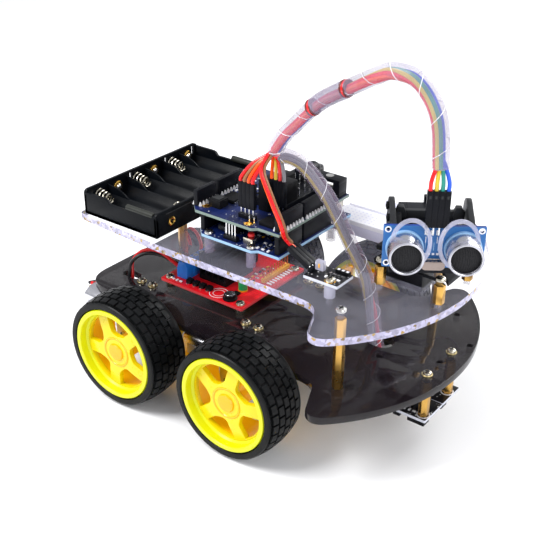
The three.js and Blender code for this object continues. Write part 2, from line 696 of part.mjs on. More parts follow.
function ultrasonicBoard() {
  const { width, height, thickness, z0 } = ULTRASONIC;
  const x0 = BOARD_FORWARD;
  const holes = [];
  for (const side of [-1, 1]) {
    for (const z of [z0 + 2, z0 + height - 2]) {
      holes.push(rod(0.9, 4, [x0 - 1, side * (width / 2 - 2), z], "x", 8));
    }
  }
  return join(
    cut(block([x0, -width / 2, z0], [x0 + thickness, width / 2, z0 + height]), ...holes),
    block([x0 + thickness - 0.1, -5.3, z0 + 0.4], [x0 + thickness + 3.6, 5.3, z0 + 4.4]),
    block([x0 - 2.4, -12, z0 + 4], [x0 + 0.1, 12, z0 + 12]),
  );
}

/** Transducer can with its open rim. */
function transducer(y) {
  const centreZ = ULTRASONIC.z0 + ULTRASONIC.height / 2 - 0.4;
  const start = BOARD_FORWARD + ULTRASONIC.thickness;
  return cut(
    rod(8, 12, [start, y, centreZ], "x", 24),
    rod(6.6, 3, [start + 10.6, y, centreZ], "x", 16),
  );
}

const head = new THREE.Group();
head.position.set(PAN_X, 0, 0);
head.rotation.z = HEAD_ANGLE;
part.add(head);

const panServo = geometryOf(microServo());
panServo.translate(PAN_X, 0, PAN_BASE_Z + PAN_BASE_THICKNESS);
add("pan_base", panBase(), BLACK_PLASTIC);
add("pan_servo", panServo, BLACK_PLASTIC);
add("pan_bracket", panBracket(), BLACK_PLASTIC, head);
add("tilt_servo", tiltServo(), BLACK_PLASTIC, head);
add("tilt_frame", tiltFrame(), BLACK_PLASTIC, head);
add("ultrasonic_board", ultrasonicBoard(), BLUE_BOARD, head);
add("transducer_right", transducer(-13), ALUMINIUM, head);
add("transducer_left", transducer(13), ALUMINIUM, head);

/** Four-way jumper plug that stands on the ultrasonic board's bent pins. */
function headPlug() {
  const x = BOARD_FORWARD + 2.3;
  const z = ULTRASONIC.z0 + ULTRASONIC.height + 0.4;
  return block([x - 1.5, -5.3, z], [x + 1.5, 5.3, z + 17.2]);
}

add("head_plug", headPlug(), BLACK_PLASTIC, head);

// ---------------------------------------------------------------- line sensors

/** Line sensor board hanging under the nose on its brass standoff. */
function lineSensor(y0, y1, standoffY) {
  const { x0, x1, top, thickness } = SENSOR;
  return join(
    block([x0, y0, top - thickness], [x1, y1, top]),
    hexSpacer([STANDOFF_X, standoffY], top - 0.1, LOWER_Z),
    block([x1 - 13, y0 + 5, top - thickness - 6.5], [x1 - 3, y0 + 11, top - thickness + 0.1]),
    block([x0 + 1, y0 + 1, top - thickness - 3], [x0 + 5, y0 + 9, top - thickness + 0.1]),
  );
}

add("line_sensor_right", lineSensor(-17.4, 1.4, -13), BLACK_BOARD);
add("line_sensor_left", lineSensor(1.8, 20.2, 13), BLACK_BOARD);

// ---------------------------------------------------------------- plugs, harnesses and leads

/** Power plug in the controller's jack. */
function dcPlug() {
  const x = BOARD.x0 + 7.7;
  const z = CONTROLLER_Z + BOARD.thickness + 5.4;
  const start = BOARD.y0 + BOARD.length + 2.1;
  return join(rod(5, 28, [x, start, z], "y", 16), rod(5, 3, [x, start + 28, z], "y", 16, 3));
}

add("dc_plug", dcPlug(), BLACK_PLASTIC);

// Routes of the cords, from one end to the other.
const HEAD_HARNESS = [
  [31, -27.8, 152.1], [37, -28.2, 161], [44.6, -28.9, 169.2],
  [58.7, -30.1, 183.3], [73.9, -31.3, 193], [91.1, -32.8, 203], [98.6, -33.4, 206],
  [108.8, -34.2, 205.5], [116.8, -34.9, 200], [123, -35.4, 189], [125.8, -35.7, 169.5],
];
const LINE_HARNESS = [
  [29.5, -20.5, 146.4], [32.3, -18.5, 146.6], [37.4, -15.5, 144.1], [42.3, -13.2, 139.5],
  [47, -11.5, 133.6], [51.3, -10, 127.7], [56.4, -8.5, 118.8], [60.8, -7.4, 110.2],
  [65.2, -6.5, 102], [69, -5.5, 95], [73.5, -3.5, 84],
  [77, -2, 68], [79, -1, 54], [82, -1.5, 42], [88, -5, 34], [95, -9.5, 29], [99.4, -12.2, 25.6],
];
const RECEIVER_LEAD = [
  [29.4, -31.5, 148.6], [29.9, -35.4, 145.9], [32.2, -38.6, 143.3], [36, -41, 139.9],
  [39.9, -42.8, 135.8], [43.9, -44, 130.4], [47, -44, 124.9], [48, -42.6, 119.5],
  [47.6, -40.5, 115], [48, -38.6, 112.2], [49.1, -37.7, 110.6],
];
const BATTERY_LEAD = [
  [-1.3, 58.6, 108], [-1.3, 62.5, 106.6], [-3.5, 64.5, 101.5], [-9, 62.5, 96.5],
  [-17, 57, 94.8], [-23, 49, 94.8], [-27, 41.5, 95.6], [-30.2, 36, 97.5],
];

/** Pair of leads from the driver's terminals down through the bottom plate to a motor. */
const motorLeads = (side) => [
  [-45.6, side * 9 - 5.1, 56.4], [-52, side * 13 - 2, 59], [-62, side * 16.5, 62],
  [-71, side * 20, 61], [-76.5, side * 24, 55], [-76, side * 26.5, 48], [-76, side * 27.5, 41],
  [-82, side * 29, 36], [-91, side * 30.2, 35], [-97, side * 32.5, 37], [-97.6, side * 39.6, 39.9],
];

add("head_harness", tube(HEAD_HARNESS, HARNESS_DIAMETER, 14), WRAP);
add("line_harness", tube(LINE_HARNESS, HARNESS_DIAMETER, 15), WRAP);
add("ir_receiver_lead", tube(RECEIVER_LEAD, LEAD_DIAMETER, 20, 6), RED_WIRE);
add("battery_lead", tube(BATTERY_LEAD, LEAD_DIAMETER, 12, 6), BLACK_PLASTIC);
add("motor_leads_right", tube(motorLeads(-1), LEAD_DIAMETER, 14, 6), RED_WIRE);
add("motor_leads_left", tube(motorLeads(1), LEAD_DIAMETER, 14, 6), RED_WIRE);

// The origin goes under the middle of everything but the cords and the plugs on them.
const LOOSE = /harness|lead|plug/;
const rigid = new THREE.Box3();
part.updateMatrixWorld(true);
part.traverse((node) => {
  if (node.isMesh && !LOOSE.test(node.name)) {
    rigid.expandByObject(node, true);
  }
});
part.position.x = -Math.round(5 * (rigid.min.x + rigid.max.x)) / 10;

export default part;
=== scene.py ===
"""Looks of a four wheel robot: acrylic decks, spoked wheels, boards and an ultrasonic head.

Every visible piece is built in millimetres from the box of its CAD node, then stored in metres.
"""

import json
import math

import bmesh
import bpy
from mathutils import Matrix, Vector


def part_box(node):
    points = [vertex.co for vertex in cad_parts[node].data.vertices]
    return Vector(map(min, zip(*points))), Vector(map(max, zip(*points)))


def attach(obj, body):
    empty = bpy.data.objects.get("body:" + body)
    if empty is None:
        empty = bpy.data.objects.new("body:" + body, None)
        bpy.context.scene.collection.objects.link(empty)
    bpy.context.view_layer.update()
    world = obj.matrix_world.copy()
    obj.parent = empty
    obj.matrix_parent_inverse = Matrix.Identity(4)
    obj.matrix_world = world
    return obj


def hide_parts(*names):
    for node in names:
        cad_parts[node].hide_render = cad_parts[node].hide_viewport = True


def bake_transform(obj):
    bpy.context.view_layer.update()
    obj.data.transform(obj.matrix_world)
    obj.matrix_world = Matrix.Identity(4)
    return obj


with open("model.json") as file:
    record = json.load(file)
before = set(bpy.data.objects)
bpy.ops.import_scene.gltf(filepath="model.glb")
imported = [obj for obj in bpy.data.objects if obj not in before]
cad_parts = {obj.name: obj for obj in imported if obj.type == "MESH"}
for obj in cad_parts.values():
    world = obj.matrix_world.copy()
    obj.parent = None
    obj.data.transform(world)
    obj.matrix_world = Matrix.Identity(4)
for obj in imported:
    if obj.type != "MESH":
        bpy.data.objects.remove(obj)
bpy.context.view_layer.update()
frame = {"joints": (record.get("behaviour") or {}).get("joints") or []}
scene = bpy.context.scene

# ---------------------------------------------------------------- camera

CAMERA = Vector((0.2739, -0.3909, 0.3278))
AZIMUTH, ELEVATION, ROLL = (math.radians(angle) for angle in (36.178, 28.660, 0.774))


def make_camera():
    camera = bpy.data.objects.new("camera", bpy.data.cameras.new("camera"))
    scene.collection.objects.link(camera)
    forward = Vector((-math.sin(AZIMUTH) * math.cos(ELEVATION), math.cos(AZIMUTH) * math.cos(ELEVATION),
                      -math.sin(ELEVATION)))
    camera.location = CAMERA
    level = forward.to_track_quat("-Z", "Y")
    camera.rotation_mode = "QUATERNION"
    camera.rotation_quaternion = level @ Matrix.Rotation(ROLL, 4, "Z").to_quaternion()
    camera.data.sensor_width = 36
    camera.data.lens = 63.06
    camera.data.clip_start = 0.01
    camera.data.clip_end = 20
    scene.camera = camera


make_camera()

# ---------------------------------------------------------------- materials


class Look:
    """A material whose colour, roughness and relief come from procedural textures."""

    def __init__(self, name, roughness=0.4, metallic=0.0, **constants):
        self.material = bpy.data.materials.new(name)
        self.material.use_nodes = True
        self.nodes = self.material.node_tree.nodes
        self.links = self.material.node_tree.links
        self.shader = self.nodes["Principled BSDF"]
        self.shader.inputs["Roughness"].default_value = roughness
        self.shader.inputs["Metallic"].default_value = metallic
        for label, value in constants.items():
            self.shader.inputs[label.replace("_", " ")].default_value = value
        self.place = self.nodes.new("ShaderNodeTexCoord").outputs["Object"]

    def node(self, kind, inputs=(), **settings):
        made = self.nodes.new(kind)
        for label, value in settings.items():
            setattr(made, label, value)
        for label, value in dict(inputs).items():
            if isinstance(value, bpy.types.NodeSocket):
                self.links.new(value, made.inputs[label])
            else:
                made.inputs[label].default_value = value
        return made

    def noise(self, scale, detail=3.0, stretch=(1, 1, 1)):
        spread = self.node("ShaderNodeMapping", {"Vector": self.place, "Scale": stretch})
        inputs = {"Vector": spread.outputs["Vector"], "Scale": scale, "Detail": detail}
        return self.node("ShaderNodeTexNoise", inputs).outputs["Fac"]

    def ramp(self, factor, *stops):
        ramp = self.node("ShaderNodeValToRGB", {"Fac": factor})
        for stop, (position, color) in zip(ramp.color_ramp.elements, stops):
            stop.position = position
            stop.color = (*color, 1)
        for position, color in stops[2:]:
            ramp.color_ramp.elements.new(position).color = (*color, 1)
        return ramp.outputs["Color"]

    def mix(self, factor, first, second):
        mixed = self.node("ShaderNodeMix", {"Factor": factor}, data_type="RGBA")
        for socket, value in ((mixed.inputs[6], first), (mixed.inputs[7], second)):
            if isinstance(value, bpy.types.NodeSocket):
                self.links.new(value, socket)
            else:
                socket.default_value = (*value, 1)
        return mixed.outputs[2]

    def math(self, operation, first, second=0.0):
        made = self.node("ShaderNodeMath", operation=operation)
        for socket, value in zip(made.inputs, (first, second)):
            if isinstance(value, bpy.types.NodeSocket):
                self.links.new(value, socket)
            else:
                socket.default_value = value
        return made.outputs[0]

    def level(self):
        """1 on faces that lie level, 0 on cut edges."""
        geometry = self.node("ShaderNodeNewGeometry")
        parts = self.node("ShaderNodeSeparateXYZ", {"Vector": geometry.outputs["True Normal"]})
        return self.math("GREATER_THAN", self.math("ABSOLUTE", parts.outputs["Z"]), 0.6)

    def color(self, socket):
        self.links.new(socket, self.shader.inputs["Base Color"])
        return self

    def drive(self, label, socket):
        self.links.new(socket, self.shader.inputs[label])
        return self

    def bump(self, height, strength=0.3, distance=0.0002):
        inputs = {"Height": height, "Strength": strength, "Distance": distance}
        self.links.new(self.node("ShaderNodeBump", inputs).outputs["Normal"], self.shader.inputs["Normal"])
        return self


def shade(color, factor):
    return tuple(min(1.0, channel * factor) for channel in color)


def surface(name, color, roughness=0.4, metallic=0.0, vary=0.18, grain=900.0, relief=0.12, **constants):
    """A plain moulded, painted or metal surface with faint mottling, wear and grain."""
    made = Look(name, roughness, metallic, **constants)
    mottle = made.noise(grain / 12, 4)
    made.color(made.ramp(mottle, (0.3, shade(color, 1 - vary)), (0.7, shade(color, 1 + vary))))
    low, high = max(0.02, roughness * 0.8), min(1.0, roughness * 1.25)
    made.drive("Roughness", made.ramp(made.noise(grain / 5, 5), (0.3, (low,) * 3), (0.75, (high,) * 3)))
    made.bump(made.noise(grain, 3), relief)
    return made.material


def circuit_board(name, color, edge, marks=0.06):
    """Lacquered board: darker copper traces, pale edges and a few rows of white marks."""
    made = Look(name, 0.42, 0.0, Specular_IOR_Level=0.3)
    traces = made.node("ShaderNodeTexBrick", {
        "Vector": made.place, "Scale": 260.0, "Mortar Size": 0.06, "Color1": (0.35, 0.35, 0.35, 1),
        "Color2": (0.55, 0.55, 0.55, 1), "Mortar": (1, 1, 1, 1), "Row Height": 0.4, "Brick Width": 1.7})
    broken = made.ramp(made.noise(95, 1), (0.45, (0, 0, 0)), (0.55, (1, 1, 1)))
    copper = made.math("MULTIPLY", traces.outputs["Color"], broken)
    green = made.mix(copper, shade(color, 0.8), shade(color, 1.5))
    spots = made.node("ShaderNodeTexVoronoi", {"Vector": made.place, "Scale": 620.0})
    rows = made.ramp(made.noise(120, 0, (1, 2.5, 1)), (0.6, (0, 0, 0)), (0.64, (1, 1, 1)))
    dots = made.ramp(spots.outputs["Distance"], (0.22, (1, 1, 1)), (0.3, (0, 0, 0)))
    white = made.math("MULTIPLY", made.math("MULTIPLY", dots, rows), marks * 12)
    face = made.mix(white, green, (0.85, 0.88, 0.9))
    level = made.level()
    made.color(made.mix(level, edge, face))
    made.bump(copper, 0.15, 0.0001)
    return made.material


def acrylic_deck(name, face, face_alpha, edge, edge_alpha, glow, warm):
    """See-through sheet whose cut edges carry painted light: a lighter painted edge colour, a painted glow
    and painted glints of warm, white and dark specks along them.
    """
    made = Look(name, 0.04, 0.0, IOR=1.49, Specular_IOR_Level=0.3)
    level = made.level()
    haze = made.ramp(made.noise(35, 2), (0.3, shade(face, 0.9)), (0.7, shade(face, 1.08)))
    # Painted glints: random cells along the cut edges turn warm, white or dark.
    cells = made.node("ShaderNodeTexVoronoi", {"Vector": made.place, "Scale": 640.0, "Randomness": 1.0})
    chance = made.node("ShaderNodeSeparateXYZ", {"Vector": cells.outputs["Color"]}).outputs["X"]
    glints = made.ramp(chance, (0.03, shade(warm, 0.5)), (0.08, shade(edge, 0.7)), (0.5, edge),
                       (0.78, shade(edge, 1.35)), (0.93, edge), (0.96, warm))
    made.color(made.mix(level, glints, haze))
    # Painted glow: the cut edges emit the glint colours, though the sheet is no lamp.
    made.drive("Emission Color", made.mix(level, glints, (0, 0, 0)))
    made.shader.inputs["Emission Strength"].default_value = glow
    alpha = made.math("ADD", made.math("MULTIPLY", level, face_alpha - edge_alpha), edge_alpha)
    made.drive("Alpha", alpha)
    made.bump(made.noise(25, 1), 0.04, 0.0003)
    return made.material


def wire_mesh(name):
    """Fine black gauze: round holes in rows."""
    made = Look(name, 0.6, 0.0, Specular_IOR_Level=0.15)
    holes = made.node("ShaderNodeTexVoronoi", {"Vector": made.place, "Scale": 1600.0, "Randomness": 0.3})
    dark, light = (0.003, 0.003, 0.004), (0.016, 0.016, 0.018)
    made.color(made.ramp(holes.outputs["Distance"], (0.25, dark), (0.55, light)))
    made.bump(holes.outputs["Distance"], 0.4, 0.0002)
    return made.material


def spiral_wrap(name, color, alpha):
    """Milky see-through plastic with a faint lilac cast."""
    made = Look(name, 0.22, 0.0, IOR=1.45)
    cast = made.noise(60, 3)
    made.color(made.ramp(cast, (0.3, shade(color, 0.88)), (0.7, shade(color, 1.08))))
    made.drive("Alpha", made.ramp(made.noise(45, 2), (0.3, (alpha * 0.8,) * 3), (0.7, (alpha * 1.2,) * 3)))
    made.bump(made.noise(300, 2), 0.15)
    return made.material


CLEAR = (0.42, 0.42, 0.52)
# BORE is a dimmer copy of the painted edge light, for the walls of the holes.
BORE = (0.3, 0.3, 0.38)
LOOKS = {
    # The edge colours and glint tints of the three sheets are painted light; clear_acrylic's edges also get a
    # painted glow of 0.04.
    "clear_acrylic": acrylic_deck("clear_acrylic", CLEAR, 0.12, (0.44, 0.42, 0.58), 0.92, 0.04,
                                  (0.42, 0.28, 0.07)),
    "deck_bore": acrylic_deck("deck_bore", CLEAR, 0.12, BORE, 0.3, 0.0, BORE),
    "smoked_acrylic": acrylic_deck("smoked_acrylic", (0.010, 0.007, 0.009), 0.84, (0.009, 0.007, 0.009),
                                   0.97, 0.0, (0.02, 0.014, 0.012)),
    "brass": surface("brass", (0.62, 0.36, 0.09), 0.3, 1.0, grain=700),
    "gold": surface("gold", (0.85, 0.5, 0.1), 0.25, 1.0),
    "yellow": surface("yellow_plastic", (0.63, 0.66, 0.001), 0.32, vary=0.05, relief=0.05),
    "warm_yellow": surface("warm_yellow", (0.76, 0.61, 0.001), 0.3, vary=0.05, relief=0.05),
    # Painted light: an orange tone and a faint glow stand for light through the yellow plastic inside the
    # rim.
    "glowing_inner_yellow": surface("glowing_inner_yellow", (0.88, 0.50, 0.001), 0.35, vary=0.08, relief=0.05,
                           Emission_Color=(0.75, 0.42, 0.0, 1), Emission_Strength=0.22),
    "hub_yellow": surface("hub_yellow", (0.88, 0.43, 0.001), 0.2, vary=0.06, relief=0.04),
    # gear_yellow's faint emission is a painted glow that lifts the casings out of shade.
    "gear_yellow": surface("gear_yellow", (0.85, 0.55, 0.01), 0.35, vary=0.06, relief=0.05,
                           Emission_Color=(0.7, 0.45, 0.0, 1), Emission_Strength=0.1),
    "white": surface("white_plastic", (0.8, 0.8, 0.86), 0.45, vary=0.03),
    # lilac is a shaded copy of the white plastic: painted shade for the breadboard's sides and holes.
    "lilac": surface("shaded_white_plastic", (0.62, 0.62, 0.78), 0.45, vary=0.04),
    "rubber": surface("tyre_rubber", (0.0055, 0.0060, 0.0065), 0.38, vary=0.35, grain=1500, relief=0.3,
                      Specular_IOR_Level=0.13),
    "steel": surface("screw_steel", (0.7, 0.69, 0.66), 0.22, 1.0),
    "nickel": surface("nickel", (0.60, 0.56, 0.46), 0.25, 1.0),
    "aluminium": surface("bright_aluminium", (0.60, 0.60, 0.64), 0.24, 1.0, vary=0.04, relief=0.0),
    "cast": surface("cast_aluminium", (0.5, 0.5, 0.53), 0.45, 1.0),
    "black": surface("black_plastic", (0.004, 0.0045, 0.007), 0.36, vary=0.3, Specular_IOR_Level=0.12),
    "tray": surface("tray_plastic", (0.0022, 0.003, 0.0045), 0.36, vary=0.3, grain=500,
                    Specular_IOR_Level=0.09),
    "pad": surface("grey_pad", (0.028, 0.03, 0.026), 0.5, vary=0.25, Specular_IOR_Level=0.2),
    "grey": surface("dark_grey_plastic", (0.022, 0.023, 0.025), 0.4, vary=0.2, Specular_IOR_Level=0.2),
    "chip": surface("chip_black", (0.005, 0.005, 0.006), 0.45, vary=0.3, Specular_IOR_Level=0.12),
    "navy": circuit_board("navy_board", (0.003, 0.012, 0.085), (0.30, 0.48, 0.68)),
    "shield": circuit_board("shield_board", (0.003, 0.009, 0.06), (0.18, 0.24, 0.21)),
    "blue_board": circuit_board("blue_board", (0.001, 0.032, 0.22), (0.03, 0.14, 0.38), 0.0),
    "red_board": circuit_board("red_board", (0.62, 0.004, 0.010), (0.75, 0.06, 0.07), 0.0),
    "black_board": circuit_board("black_board", (0.006, 0.006, 0.009), (0.6, 0.62, 0.7), 0.08),
    "bronze": surface("bronze_can", (0.27, 0.22, 0.20), 0.22, 1.0, vary=0.1),
    "pale_gold": surface("pale_gold", (0.60, 0.50, 0.27), 0.3, 1.0),
    "joint": surface("solder_joint", (0.72, 0.72, 0.74), 0.35, 0.15, vary=0.15),
    "pale_metal": surface("pale_metal", (0.42, 0.42, 0.48), 0.35, 0.6, vary=0.08),
    "collar": surface("blue_collar", (0.30, 0.52, 0.78), 0.35, vary=0.1),
    "silk": surface("white_ink", (0.85, 0.85, 0.88), 0.6, vary=0.08),
    "solder": surface("solder", (0.8, 0.8, 0.8), 0.25, 1.0),
    "red": surface("red_plastic", (0.7, 0.02, 0.02), 0.35),
    "blue": surface("blue_plastic", (0.01, 0.16, 0.62), 0.35),
    "green": surface("green_sleeve", (0.01, 0.42, 0.12), 0.35),
    "amber": surface("amber_plastic", (0.75, 0.36, 0.01), 0.35),
    "gauze": wire_mesh("gauze"),
    "wrap": spiral_wrap("spiral_wrap", (0.33, 0.29, 0.40), 0.37),
    "tie": spiral_wrap("clear_tie", (0.60, 0.60, 0.74), 0.45),
    "wire_red": surface("wire_red", (0.80, 0.006, 0.010), 0.3, vary=0.08),
    "wire_orange": surface("wire_orange", (0.9, 0.09, 0.004), 0.3, vary=0.1),
    "wire_dark": surface("wire_dark_red", (0.13, 0.010, 0.006), 0.4, vary=0.1),
    "wire_brown": surface("wire_brown", (0.3, 0.13, 0.05), 0.4, vary=0.1),
    "wire_mustard": surface("wire_mustard", (0.62, 0.47, 0.03), 0.4, vary=0.1),
    "wire_green": surface("wire_green", (0.01, 0.25, 0.2), 0.4, vary=0.1),
    "wire_blue": surface("wire_blue", (0.01, 0.09, 0.62), 0.4, vary=0.1),
    "wire_grey": surface("wire_grey", (0.22, 0.22, 0.24), 0.4, vary=0.1),
    "wire_black": surface("wire_black", (0.01, 0.01, 0.012), 0.4, vary=0.2),
}

# ---------------------------------------------------------------- solids


def box_mm(node):
    """Lowest and highest corner of a CAD node, in millimetres."""
    low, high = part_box(node)
    return low * 1000, high * 1000


def arc(centre, radius, start, end, steps):
    """Points of an arc between two angles in degrees."""
    angles = [math.radians(start + (end - start) * step / steps) for step in range(steps + 1)]
    return [(centre[0] + radius * math.cos(angle), centre[1] + radius * math.sin(angle)) for angle in angles]


def circle(centre, radius, steps=20):
    return arc(centre, radius, 0, 360, steps)[:-1]


def bend(start, control, end, steps=8):
    """Points of a quadratic curve, ends included."""
    points = []
    for step in range(steps + 1):
        t = step / steps
        weighted = list(zip(((1 - t) ** 2, 2 * t * (1 - t), t * t), (start, control, end)))
        points.append(tuple(sum(w * p[axis] for w, p in weighted) for axis in (0, 1)))
    return points


def rectangle(x0, y0, x1, y1):
    return [(x0, y0), (x1, y0), (x1, y1), (x0, y1)]


def rounded(x0, y0, x1, y1, radius, steps=4):
    """Rectangle with rounded corners."""
    return (arc((x1 - radius, y0 + radius), radius, -90, 0, steps)
            + arc((x1 - radius, y1 - radius), radius, 0, 90, steps)
            + arc((x0 + radius, y1 - radius), radius, 90, 180, steps)
            + arc((x0 + radius, y0 + radius), radius, 180, 270, steps))


def smooth_line(points, steps=6):
    """A smooth line through given points."""
    points = [Vector(point) for point in points]
    ends = [2 * points[0] - points[1], *points, 2 * points[-1] - points[-2]]
    line = []
    for a, b, c, d in zip(ends, ends[1:], ends[2:], ends[3:]):
        for step in range(steps):
            t = step / steps
            line.append(0.5 * (2 * b + (c - a) * t + (2 * a - 5 * b + 4 * c - d) * t * t
                               + (3 * b - a - 3 * c + d) * t ** 3))
    return [*line, points[-1]]


def line_frames(line):
    """Two directions across a line at each of its points, carried along without twist."""
    frames = []
    across = Vector((0, -1, 0))
    for index in range(len(line)):
        ahead = line[min(index + 1, len(line) - 1)] - line[max(index - 1, 0)]
        ahead.normalize()
        across = across - ahead * across.dot(ahead)
        across = (across if across.length > 0.2 else ahead.orthogonal()).normalized()
        frames.append((across, ahead.cross(across)))
    return frames


SPREAD = {
    "z": lambda a, b, h: (a, b, h),
    "y": lambda a, b, h: (a, h, b),
    "x": lambda a, b, h: (h, a, b),
}


class Piece:
    """Solids in millimetres, gathered into one mesh with one material for each look."""

    def __init__(self, name, place=None):
        self.name = name
        self.place = place or Matrix.Identity(4)
        self.whole = bmesh.new()
        self.looks = []

    def keep(self, solid, look, bevel=0.0):
        """Adds a closed solid in one look, its sharp edges rounded by `bevel`."""
        if bevel:
            sharp = [edge for edge in solid.edges if edge.is_manifold and edge.calc_face_angle() > 0.6]
            bmesh.ops.bevel(solid, geom=sharp, offset=bevel, segments=2, profile=0.6, affect="EDGES",
                            clamp_overlap=True)
        bmesh.ops.recalc_face_normals(solid, faces=solid.faces)
        if look not in self.looks:
            self.looks.append(look)
        for face in solid.faces:
            face.material_index = self.looks.index(look)
            face.smooth = True
        mesh = bpy.data.meshes.new("solid")
        solid.to_mesh(mesh)
        solid.free()
        self.whole.from_mesh(mesh)
        bpy.data.meshes.remove(mesh)
        return self

    def box(self, low, high, look, bevel=0.15):
        solid = bmesh.new()
        size = [end - start for start, end in zip(low, high)]
        middle = [(end + start) / 2 for start, end in zip(low, high)]
        matrix = Matrix.Translation(middle) @ Matrix.Diagonal((*size, 1))
        bmesh.ops.create_cube(solid, size=1.0, matrix=matrix)
        return self.keep(solid, look, bevel)

    def rod(self, start, end, radius, look, sides=24, bevel=0.0):
        start, end = Vector(start), Vector(end)
        along = end - start
        turn = along.to_track_quat("Z", "Y").to_matrix().to_4x4()
        solid = bmesh.new()
        bmesh.ops.create_cone(solid, cap_ends=True, segments=sides, radius1=radius, radius2=radius,
                              depth=along.length, matrix=Matrix.Translation((start + end) / 2) @ turn)
        return self.keep(solid, look, bevel)

    def ball(self, centre, radius, look, squash=(1, 1, 1)):
        solid = bmesh.new()
        matrix = Matrix.Translation(centre) @ Matrix.Diagonal((*squash, 1))
        bmesh.ops.create_uvsphere(solid, u_segments=16, v_segments=10, radius=radius, matrix=matrix)
        return self.keep(solid, look)

    def lathe(self, profile, look, base=(0, 0, 0), axis="z", sides=48):
        """A turned solid. Its (radius, height) profile ends on the axis or closes on itself."""
        solid = bmesh.new()
        rings = []
        for radius, height in profile:
            count = sides if radius > 1e-6 else 1
            ring = []
            for index in range(count):
                angle = 2 * math.pi * index / sides
                spot = SPREAD[axis](radius * math.cos(angle), radius * math.sin(angle), height)
                ring.append(solid.verts.new(Vector(spot) + Vector(base)))
            rings.append(ring)
        pairs = list(zip(rings, rings[1:]))
        if profile[0][0] > 1e-6:
            pairs.append((rings[-1], rings[0]))
        for lower, upper in pairs:
            for index in range(sides):
                after = (index + 1) % sides
                corners = [lower[index % len(lower)], lower[after % len(lower)],
                           upper[after % len(upper)], upper[index % len(upper)]]
                solid.faces.new(list(dict.fromkeys(corners)))
        return self.keep(solid, look)

    def prism(self, outline, low, high, look, holes=(), axis="z", bevel=0.0):
        """A flat outline with holes, thick from `low` to `high` along an axis."""
        solid = bmesh.new()
        edges = []
        for loop in [outline, *holes]:
            verts = [solid.verts.new(SPREAD[axis](a, b, low)) for a, b in loop]
            edges += [solid.edges.new(pair) for pair in zip(verts, verts[1:] + verts[:1])]
        bmesh.ops.triangle_fill(solid, edges=edges, use_beauty=True, use_dissolve=False)
        grown = bmesh.ops.extrude_face_region(solid, geom=solid.faces[:])
        moved = [item for item in grown["geom"] if isinstance(item, bmesh.types.BMVert)]
        bmesh.ops.translate(solid, verts=moved, vec=SPREAD[axis](0, 0, high - low))
        return self.keep(solid, look, bevel)

    def tube(self, points, radius, look, sides=10, steps=6):
        """A round cord along a smooth line."""
        line = smooth_line(points, steps)
        solid = bmesh.new()
        rings = []
        for point, (across, up) in zip(line, line_frames(line)):
            ring = []
            for side in range(sides):
                angle = 2 * math.pi * side / sides
                outward = across * math.cos(angle) + up * math.sin(angle)
                ring.append(solid.verts.new(point + outward * radius))
            rings.append(ring)
        for lower, upper in zip(rings, rings[1:]):
            for side in range(sides):
                after = (side + 1) % sides
                solid.faces.new((lower[side], lower[after], upper[after], upper[side]))
        solid.faces.new(rings[0][::-1])
        solid.faces.new(rings[-1])
        return self.keep(solid, look)

    def post(self, x, y, low, high, half, look="solder"):
        """A square upright pin."""
        return self.box((x - half, y - half, low), (x + half, y + half, high), look, 0)

    def ring(self, centre, inner, outer, low, high, look, sides):
        """An upright ring or sleeve."""
        return self.lathe([(inner, low), (outer, low), (outer, high), (inner, high)], look, (*centre, 0),
                          sides=sides)

    def screw(self, foot, look="steel", radius=2.8, up=1):
        """A pan head screw with a cross recess, standing on `foot` and facing up or down."""
        x, y, z = foot
        self.lathe([(0, z), (radius, z), (radius, z + up * 0.5), (radius * 0.86, z + up * 1.3),
                    (radius * 0.45, z + up * 1.75), (0, z + up * 1.8)], look, (x, y, 0), sides=20)
        for along in ((radius * 0.55, 0.32), (0.32, radius * 0.55)):
            top = sorted((z + up * 1.2, z + up * 1.86))
            self.box((x - along[0], y - along[1], top[0]), (x + along[0], y + along[1], top[1]), "chip", 0)
        return self

    def finish(self, body, *nodes, slot=None, bends_to=None):
        """Makes the object, which moves with a body and stands for its CAD nodes.

        `bends_to` is another body and the points where a bend towards it would start and end; when it is
        given, the object is baked in place and moves with no body, and neither the body nor the points are
        used.
        """
        self.whole.transform(Matrix.Scale(0.001, 4) @ self.place)
        mesh = bpy.data.meshes.new(self.name)
        self.whole.to_mesh(mesh)
        self.whole.free()
        for look in self.looks:
            mesh.materials.append(LOOKS[look])
        mesh.set_sharp_from_angle(angle=math.radians(32))
        made = bpy.data.objects.new(self.name, mesh)
        scene.collection.objects.link(made)
        if bends_to:
            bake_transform(made)
        else:
            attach(made, body)
        if nodes:
            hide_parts(*nodes)
        return made


# ---------------------------------------------------------------- decks and pillars

# The decks are drawn from the middle of the wheelbase, and this moves them into the row frame.
NOSE_X = 129
MIDDLE_X = box_mm("bottom_plate")[1].x - NOSE_X
FROM_MIDDLE = Matrix.Translation((MIDDLE_X, 0, 0))
WAIST_Y, TAIL_Y = 52.5, 49
PILLARS = [(88, -50), (88, 50), (-57, 0)]
SPARE_HOLES = [(90, -13.7), (117.5, 1.2), (122.6, 25), (102, 49.8), (73.4, 41.5)]
PAN_MOUNTS = [(88, -15), (88, 15), (121, -15), (121, 15)]
BRACKET_HOLES = [(axle - 20.4 + offset, side * 29.8)
                 for axle in (39, -39) for side in (-1, 1) for offset in (-4.3, 4.3)]
SENSOR_HOLES = [(118, -13), (118, 13)]
IR_SCREW = (76, -42)
SPACER = 2.89  # radius at the corners of a hexagonal spacer


